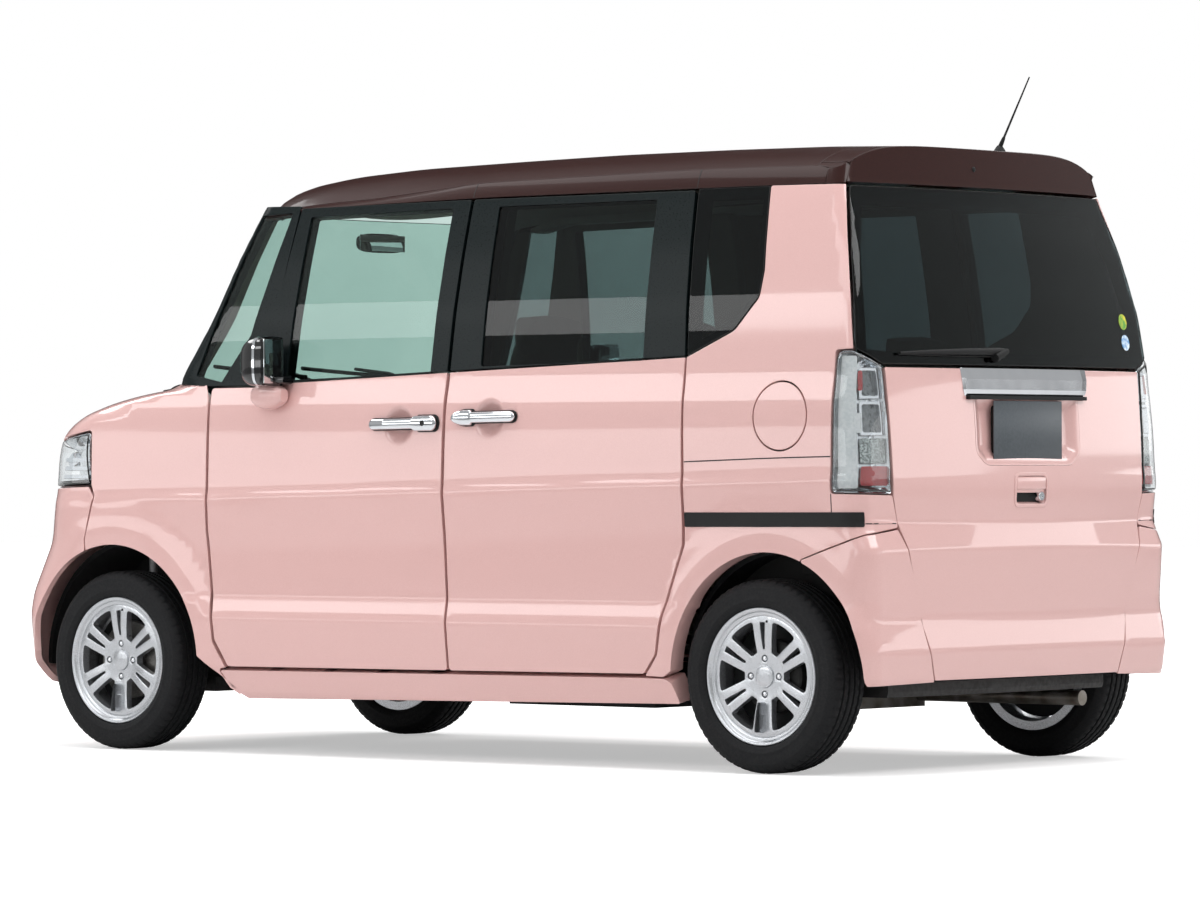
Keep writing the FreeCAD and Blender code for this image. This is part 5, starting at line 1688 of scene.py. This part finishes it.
SIM_FRAMES = 20
VOXEL = 6
SEAT_PARTS = (
    # name, low corner, high corner, lean back in degrees, foot it leans about, crown,
    # axis of the channels, places of the channels
    ("front_cushion", (48, 78, 478), (522, 552, 628), -4, (285, 540), 0.26, 0, (190, 330)),
    ("front_back", (-60, 80, 600), (58, 550, 1140), 12, (0, 590), 0.26, 2, (760, 920)),
    ("front_headrest", (-62, 190, 1150), (28, 440, 1325), 12, (0, 590), 0.22, 2, ()),
    ("rear_cushion", (-930, 8, 478), (-470, 490, 618), -3, (-700, 540), 0.26, 0, (-790, -620)),
    ("rear_back", (-1010, 10, 600), (-900, 488, 1090), 12, (-955, 590), 0.26, 2, (760, 910)),
    ("rear_headrest", (-1005, 130, 1100), (-925, 370, 1255), 12, (-955, 590), 0.22, 2, ()),
)
for name, low, high, lean_back, foot, crown, axis, channels in SEAT_PARTS:
    verts, faces = stuffed(low, high, crown, 0.035)
    turn = Matrix.Rotation(math.radians(-lean_back), 4, "Y")
    pivot = Vector((foot[0] * MM, 0, foot[1] * MM))
    cover = new_object(f"{name}_left", verts, faces, "body", [seat_cloth])
    inflated(cover, VOXEL, 14)
    channelled(cover, axis, channels, 9)
    cover.data.transform(Matrix.Translation(pivot) @ turn @ Matrix.Translation(-pivot))
    other = cover.data.copy()
    other.transform(Matrix.Scale(-1, 4, (0, 1, 0)))
    other.flip_normals()
    twin = bpy.data.objects.new(f"{name}_right", other)
    bpy.context.scene.collection.objects.link(twin)
    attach(twin, "body")
    for piece in (cover, twin):
        smoother = piece.modifiers.new("fine_surface", "SUBSURF")
        smoother.levels = smoother.render_levels = 1
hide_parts("front_seats")
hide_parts("rear_seat")


def seat_frame(front, back, half, foot_z, low, posts):
    """What carries a seat: pan, side covers, runners and the headrest's posts."""
    middle_y = 315 if half > 240 else 250
    parts = [(*block((back, middle_y - half + 30, low), (front, middle_y + half - 30, low + 34), 6), 0)]
    for y in (middle_y - half + 30, middle_y + half - 60):
        parts.append((*block((back, y, foot_z), (front - 30, y + 30, foot_z + 26), 4), 1))
        parts.append((*block((back + 40, y + 4, foot_z + 20), (back + 90, y + 26, low + 10), 4), 1))
        parts.append((*block((front - 120, y + 4, foot_z + 20), (front - 70, y + 26, low + 10), 4), 1))
    for y in (middle_y - 70, middle_y + 70):
        (x0, z0), (x1, z1) = posts
        parts.append((*rod([(x0, y, z0), (x1, y, z1)], 6), 2))
    return parts


in_pairs("front_seat_frame", "body", [black_plastic, black_steel, chrome],
         seat_frame(500, 40, 245, 352, 444, ((-118, 1120), (-128, 1180))))
in_pairs("rear_seat_frame", "body", [black_plastic, black_steel, chrome],
         seat_frame(-490, -930, 239, 352, 444, ((-1062, 1070), (-1074, 1130))))

# ---------------------------------------------------------------- cabin


def swept(outline, low, high, taper=0.0):
    """Closed form: an outline of x and z carried across from one y to another, its ends drawn in."""
    outline = np.array(outline, float)
    centre = outline.mean(0)
    rings = []
    for y, share in ((low, 1 - taper), (low + 12, 1), (high - 12, 1), (high, 1 - taper)):
        points = centre + (outline - centre) * share
        rings.append(np.stack([points[:, 0], np.full(len(points), float(y)), points[:, 1]], -1))
    return joined_rings(rings)


dash_line = rounded([(1040, 1062, 10), (780, 1060, 30), (690, 1046, 30), (650, 990, 20), (655, 900, 20),
                     (625, 820, 25), (640, 740, 20), (740, 650, 20), (1040, 650, 10)])
meter_line = rounded([(800, 1040, 10), (790, 1063, 10), (680, 1063, 22), (640, 1040, 10), (664, 960, 10),
                      (760, 960, 10)])
wheel_x, wheel_y, wheel_z = middle("steering_wheel")
dashboard = solid("dashboard_moulding", "body", [dash_plastic, cabin_trim, gloss_black, chrome], [
    (*swept(dash_line, -598, 598, 0.02), 0),
    (*swept(meter_line, wheel_y - 150, wheel_y + 150, 0.05), 0),
    (*swept(rounded([(668, 985, 6), (660, 906, 6), (636, 880, 6), (650, 984, 6)]), -590, -480), 1),
    (*swept(rounded([(668, 985, 6), (656, 906, 6), (628, 872, 8), (640, 984, 6)]), 140, 590), 1),
    (*block((632, -100, 880), (664, 120, 1008), 8), 2),
    (*block((606, -60, 700), (680, 80, 852), 14), 0),
    (*block((622, -88, 862), (650, 108, 872), 3), 3),
    *[(*block((634, y, 930), (662, y + 92, 968), 8), 2) for y in (-590, -205, 150, 492)]])
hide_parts("dashboard")

WHEEL_RADIUS, WHEEL_TILT = 165, 24
rim = [(WHEEL_RADIUS + 12 * math.cos(a), 13 * math.sin(a)) for a in np.linspace(0, 2 * math.pi, 17)[:-1]]
wheel_turn = Matrix.Rotation(math.radians(WHEEL_TILT), 3, "Y") @ AXIS_BACK
wheel_at = (wheel_x, wheel_y, wheel_z)
boss = lathe([(0.5, 20), (40, 19), (62, 12), (66, 0), (58, -20), (0.5, -22)], 40)
steering = [lathe(rim, 72, closed=True), boss]
for angle in (0, 180, 270):
    spoke = block((50, -9, -20), (WHEEL_RADIUS - 2, 9, 20), 6)
    steering.append(moved(spoke, turn=Matrix.Rotation(math.radians(angle), 3, "Y")))
steering = [moved((*part, 0), wheel_at, wheel_turn) for part in steering]
steering_piece = solid("steering_wheel_rim", "steering_wheel", [dash_plastic, cabin_trim], steering)
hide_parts("steering_wheel")
column_end = Vector(wheel_at) + wheel_turn @ Vector((0, -30, 0))
column_start = Vector(wheel_at) + wheel_turn @ Vector((0, -150, 0))
solid("steering_column_cover", "body", dash_plastic, [rod([column_end, column_start], (38, 52), 20)])

mirror_low, mirror_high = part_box("interior_mirror")
mirror_x, mirror_z = mirror_low.x / MM, (mirror_low.z + mirror_high.z) / 2 / MM
mirror_rings = [((mirror_x + d, 0, mirror_z), 30 * f, 110 * f)
                for d, f in ((2, 0.96), (6, 1), (14, 0.98), (21, 0.8))]
cabin_mirror = solid("cabin_mirror", "body", [dash_plastic, silvered_glass], [
    (*loft(mirror_rings, 0.6, 32), 0),
    (*block((mirror_x, -104, mirror_z - 25), (mirror_x + 3, 104, mirror_z + 25), 1), 1),
    (*rod([(mirror_x + 18, 0, mirror_z), (mirror_x + 34, 0, mirror_z + 8)], 7), 0)])
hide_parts("interior_mirror")

solid("cabin_carpet", "body", carpet, [
    (*block((-1130, -612, 345), (930, 612, 352), 3), 0),
    (*block((-1585, -520, 345), (-1120, 520, 364), 4), 0),
    (*block((920, -390, 345), (986, 390, 353), 3), 0)])
solid("front_footwell_wall", "body", carpet, [(*block((985, -390, 350), (998, 390, 640), 4), 0)])


def pillar(x, lean_x, wide, deep, inset):
    """Body pillar behind the doors, following the side's lean."""
    rings = []
    for z in np.linspace(262, 1640, 16):
        y = float(half_width(z)) - inset - deep / 2
        along = x + lean_x * (z - 262) / 1378
        rings.append([(along - wide / 2, y - deep / 2, z), (along + wide / 2, y - deep / 2, z),
                      (along + wide / 2, y + deep / 2, z), (along - wide / 2, y + deep / 2, z)])
    return joined_rings(np.array(rings, float))


in_pairs("centre_pillar", "body", cabin_trim, [(*pillar(-122, -26, 110, 34, WALL + 8), 0)])
in_pairs("sill_tread", "body", black_plastic, [(*block((-860, 600, 258), (745, 652, 268), 3), 0)])
RAIL_LINE = rounded([(-1400, 1650), (-1400, 1690), (500, 1648), (640, 1612), (600, 1600), (480, 1625)], 8)
in_pairs("roof_rail_trim", "body", headliner, [(*swept(RAIL_LINE, 520, 572), 0)])

# ---------------------------------------------------------------- what stands for which frame node
STANDS_FOR = {
    "front_door_skin_left": ["front_door_left"], "front_door_skin_right": ["front_door_right"],
    "front_door_pane_left": ["front_door_glass_left"], "front_door_pane_right": ["front_door_glass_right"],
    "sliding_door_skin_left": ["sliding_door_left"], "sliding_door_skin_right": ["sliding_door_right"],
    "sliding_door_glass_left": ["sliding_door_glass"], "rear_quarter_left": ["body_side_left"],
    "rear_quarter_right": ["body_side_right"], "front_quarter_pane_left": ["front_quarter_glass"],
    "rear_quarter_glass_left": ["rear_quarter_glass"], "front_fender_skin_left": ["front_fender_left"],
    "front_fender_skin_right": ["front_fender_right"], "rear_corner_left": ["rear_bumper"],
    "roof_crown": ["roof"], "bonnet_skin": ["bonnet"], "front_bumper_skin": ["front_bumper"],
    "windscreen_pane": ["windscreen"], "tailgate_skin": ["tailgate"],
    "tailgate_glass_pane": ["tailgate_glass"], "fuel_flap_door": ["fuel_flap"],
    "tail_lamp_lens_left": ["tail_lamps"], "headlamp_lens_left": ["headlamps"],
    "tailgate_bar": ["tailgate_garnish"], "blank_plate": ["number_plate"],
    "rear_wiper_arm": ["rear_wiper"], "roof_aerial": ["antenna"],
    "door_mirror_body_left": ["door_mirror_left"], "door_mirror_body_right": ["door_mirror_right"],
}
for piece, nodes in STANDS_FOR.items():
    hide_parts(*nodes)

NODE_FINISH = {
    "wheel_housings": black_plastic, "floor_pan": black_steel, "engine": cast_metal,
    "fuel_tank": black_plastic, "exhaust": exhaust_steel, "front_suspension": black_steel,
    "rear_axle": black_steel,
    "steering_knuckle_left": cast_metal, "steering_knuckle_right": cast_metal, "cowl": black_plastic,
}
for name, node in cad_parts.items():
    node.data.materials.clear()
    node.data.materials.append(NODE_FINISH.get(name, black_plastic))

# ---------------------------------------------------------------- floor, light and camera


def flat_stage():
    """Pale floor that fades into the white background and keeps the car's shadow."""
    mesh = bpy.data.meshes.new("studio_floor")
    mesh.from_pydata([(-40, -40, 0), (40, -40, 0), (40, 40, 0), (-40, 40, 0)], [], [(0, 1, 2, 3)])
    ground = bpy.data.objects.new("studio_floor", mesh)
    bpy.context.scene.collection.objects.link(ground)
    material = finish("studio_paper", "#E6E6E6", 0.9)
    path = add(material, "ShaderNodeLightPath").outputs["Is Camera Ray"]
    shader = material.node_tree.nodes["Principled BSDF"]
    shader.inputs["Emission Color"].default_value = (1, 1, 1, 1)
    place = add(material, "ShaderNodeTexCoord").outputs["Object"]
    away = add(material, "ShaderNodeVectorMath", {0: place}, operation="LENGTH").outputs["Value"]
    level = add(material, "ShaderNodeMapRange", {"Value": away, "From Min": 2.2, "From Max": 7.0,
                                                 "To Min": FLOOR_LIFT, "To Max": 1.1})
    lift = add(material, "ShaderNodeMath", {0: path, 1: level.outputs["Result"]}, operation="MULTIPLY")
    material.node_tree.links.new(lift.outputs[0], shader.inputs["Emission Strength"])
    mesh.materials.append(material)


def lamp(name, place, aim, size, power):
    light = bpy.data.lights.new(name, "AREA")
    light.shape = "RECTANGLE"
    light.size, light.size_y = size
    light.energy = power
    thing = bpy.data.objects.new(name, light)
    bpy.context.scene.collection.objects.link(thing)
    thing.location = place
    thing.rotation_euler = (Vector(aim) - Vector(place)).to_track_quat("-Z", "Y").to_euler()
    thing.visible_camera = thing.visible_transmission = False


def white_world(fill):
    """White to the eye and in mirrors, dimmer as a light, and dark where the roof mirrors it."""
    world = bpy.data.worlds.new("studio")
    world.use_nodes = True

    def node(kind, links, **settings):
        return add(world, kind, links, **settings).outputs[0]

    path = add(world, "ShaderNodeLightPath").outputs
    way = add(world, "ShaderNodeTexCoord").outputs["Generated"]
    ahead = add(world, "ShaderNodeVectorMath", {0: way, 1: BEYOND}, operation="DOT_PRODUCT").outputs["Value"]
    mirrored = node("ShaderNodeMapRange", {"Value": ahead, "From Min": 0.55, "From Max": 0.85,
                                           "To Min": 1.0, "To Max": 0.05})
    seen = node("ShaderNodeMath", {0: path["Is Camera Ray"], 1: path["Is Transmission Ray"]},
                operation="MAXIMUM")
    glossy = node("ShaderNodeMath", {0: path["Is Glossy Ray"], 1: mirrored}, operation="MULTIPLY")
    glossy = node("ShaderNodeMath", {0: glossy, 1: MIRRORED}, operation="MULTIPLY")
    level = node("ShaderNodeMath", {0: seen, 1: glossy}, operation="MAXIMUM")
    matt = node("ShaderNodeMath", {0: path["Is Glossy Ray"], 1: -fill, 2: fill}, operation="MULTIPLY_ADD")
    level = node("ShaderNodeMath", {0: level, 1: matt}, operation="MAXIMUM")
    background = world.node_tree.nodes["Background"]
    background.inputs["Color"].default_value = (1, 1, 1, 1)
    world.node_tree.links.new(level, background.inputs["Strength"])
    bpy.context.scene.world = world


BEYOND = (0.642, -0.767, 0.0)     # the way into the picture, past the car
MIRRORED = 0.5                    # how bright the studio is in a mirror
FLOOR_LIFT = 0.45
flat_stage()
white_world(0.30)
LAMPS = (
    # name, place, aim, size, power
    ("overhead_softbox", (-0.5, 0.6, 5.0), (-0.2, 0, 1.0), (7.5, 4.5), 250),
    ("side_softbox", (-1.0, 7.2, 4.9), (0, 0, 0.9), (9.0, 1.4), 80),
    ("side_strip", (4.2, 7.2, 3.4), (4.2, 0, 1.3), (10.0, 1.0), 140),
    ("side_low_strip", (4.2, 7.4, 1.15), (4.2, 0, 1.0), (10.0, 0.6), 50),
    ("rear_softbox", (-7.0, 0.5, 5.8), (-1.0, 0, 0.9), (5.0, 2.0), 230),
    ("rear_strip", (-7.2, -6.2, 1.72), (-1.0, -1.0, 0.9), (14.0, 0.85), 98),
    ("far_softbox", (0.0, -6.6, 5.4), (0, 0, 0.9), (7.0, 2.0), 150),
    ("front_softbox", (7.2, 1.0, 5.8), (1.0, 0, 0.9), (5.0, 2.0), 180),
)
for light in LAMPS:
    lamp(*light)
bpy.context.scene.view_settings.view_transform = "Standard"

camera = bpy.data.cameras.new("camera")
camera.sensor_width = 36
camera.lens = 179.95
camera.shift_y = -0.0048
camera.clip_end = 200
eye = bpy.data.objects.new("camera", camera)
bpy.context.scene.collection.objects.link(eye)
bpy.context.scene.camera = eye
AZIMUTH, ELEVATION, ROLL = (math.radians(a) for a in (219.934, -0.257, -0.133))
back = Vector((math.sin(AZIMUTH) * math.cos(ELEVATION), -math.cos(AZIMUTH) * math.cos(ELEVATION),
               math.sin(ELEVATION)))
right = Vector((0, 0, 1)).cross(back).normalized()
up = back.cross(right)
side = math.cos(ROLL) * right + math.sin(ROLL) * up
rise = -math.sin(ROLL) * right + math.cos(ROLL) * up
eye.matrix_world = Matrix((
    (side.x, rise.x, back.x, -11.7088),
    (side.y, rise.y, back.y, 13.8741),
    (side.z, rise.z, back.z, 0.8501),
    (0, 0, 0, 1)))
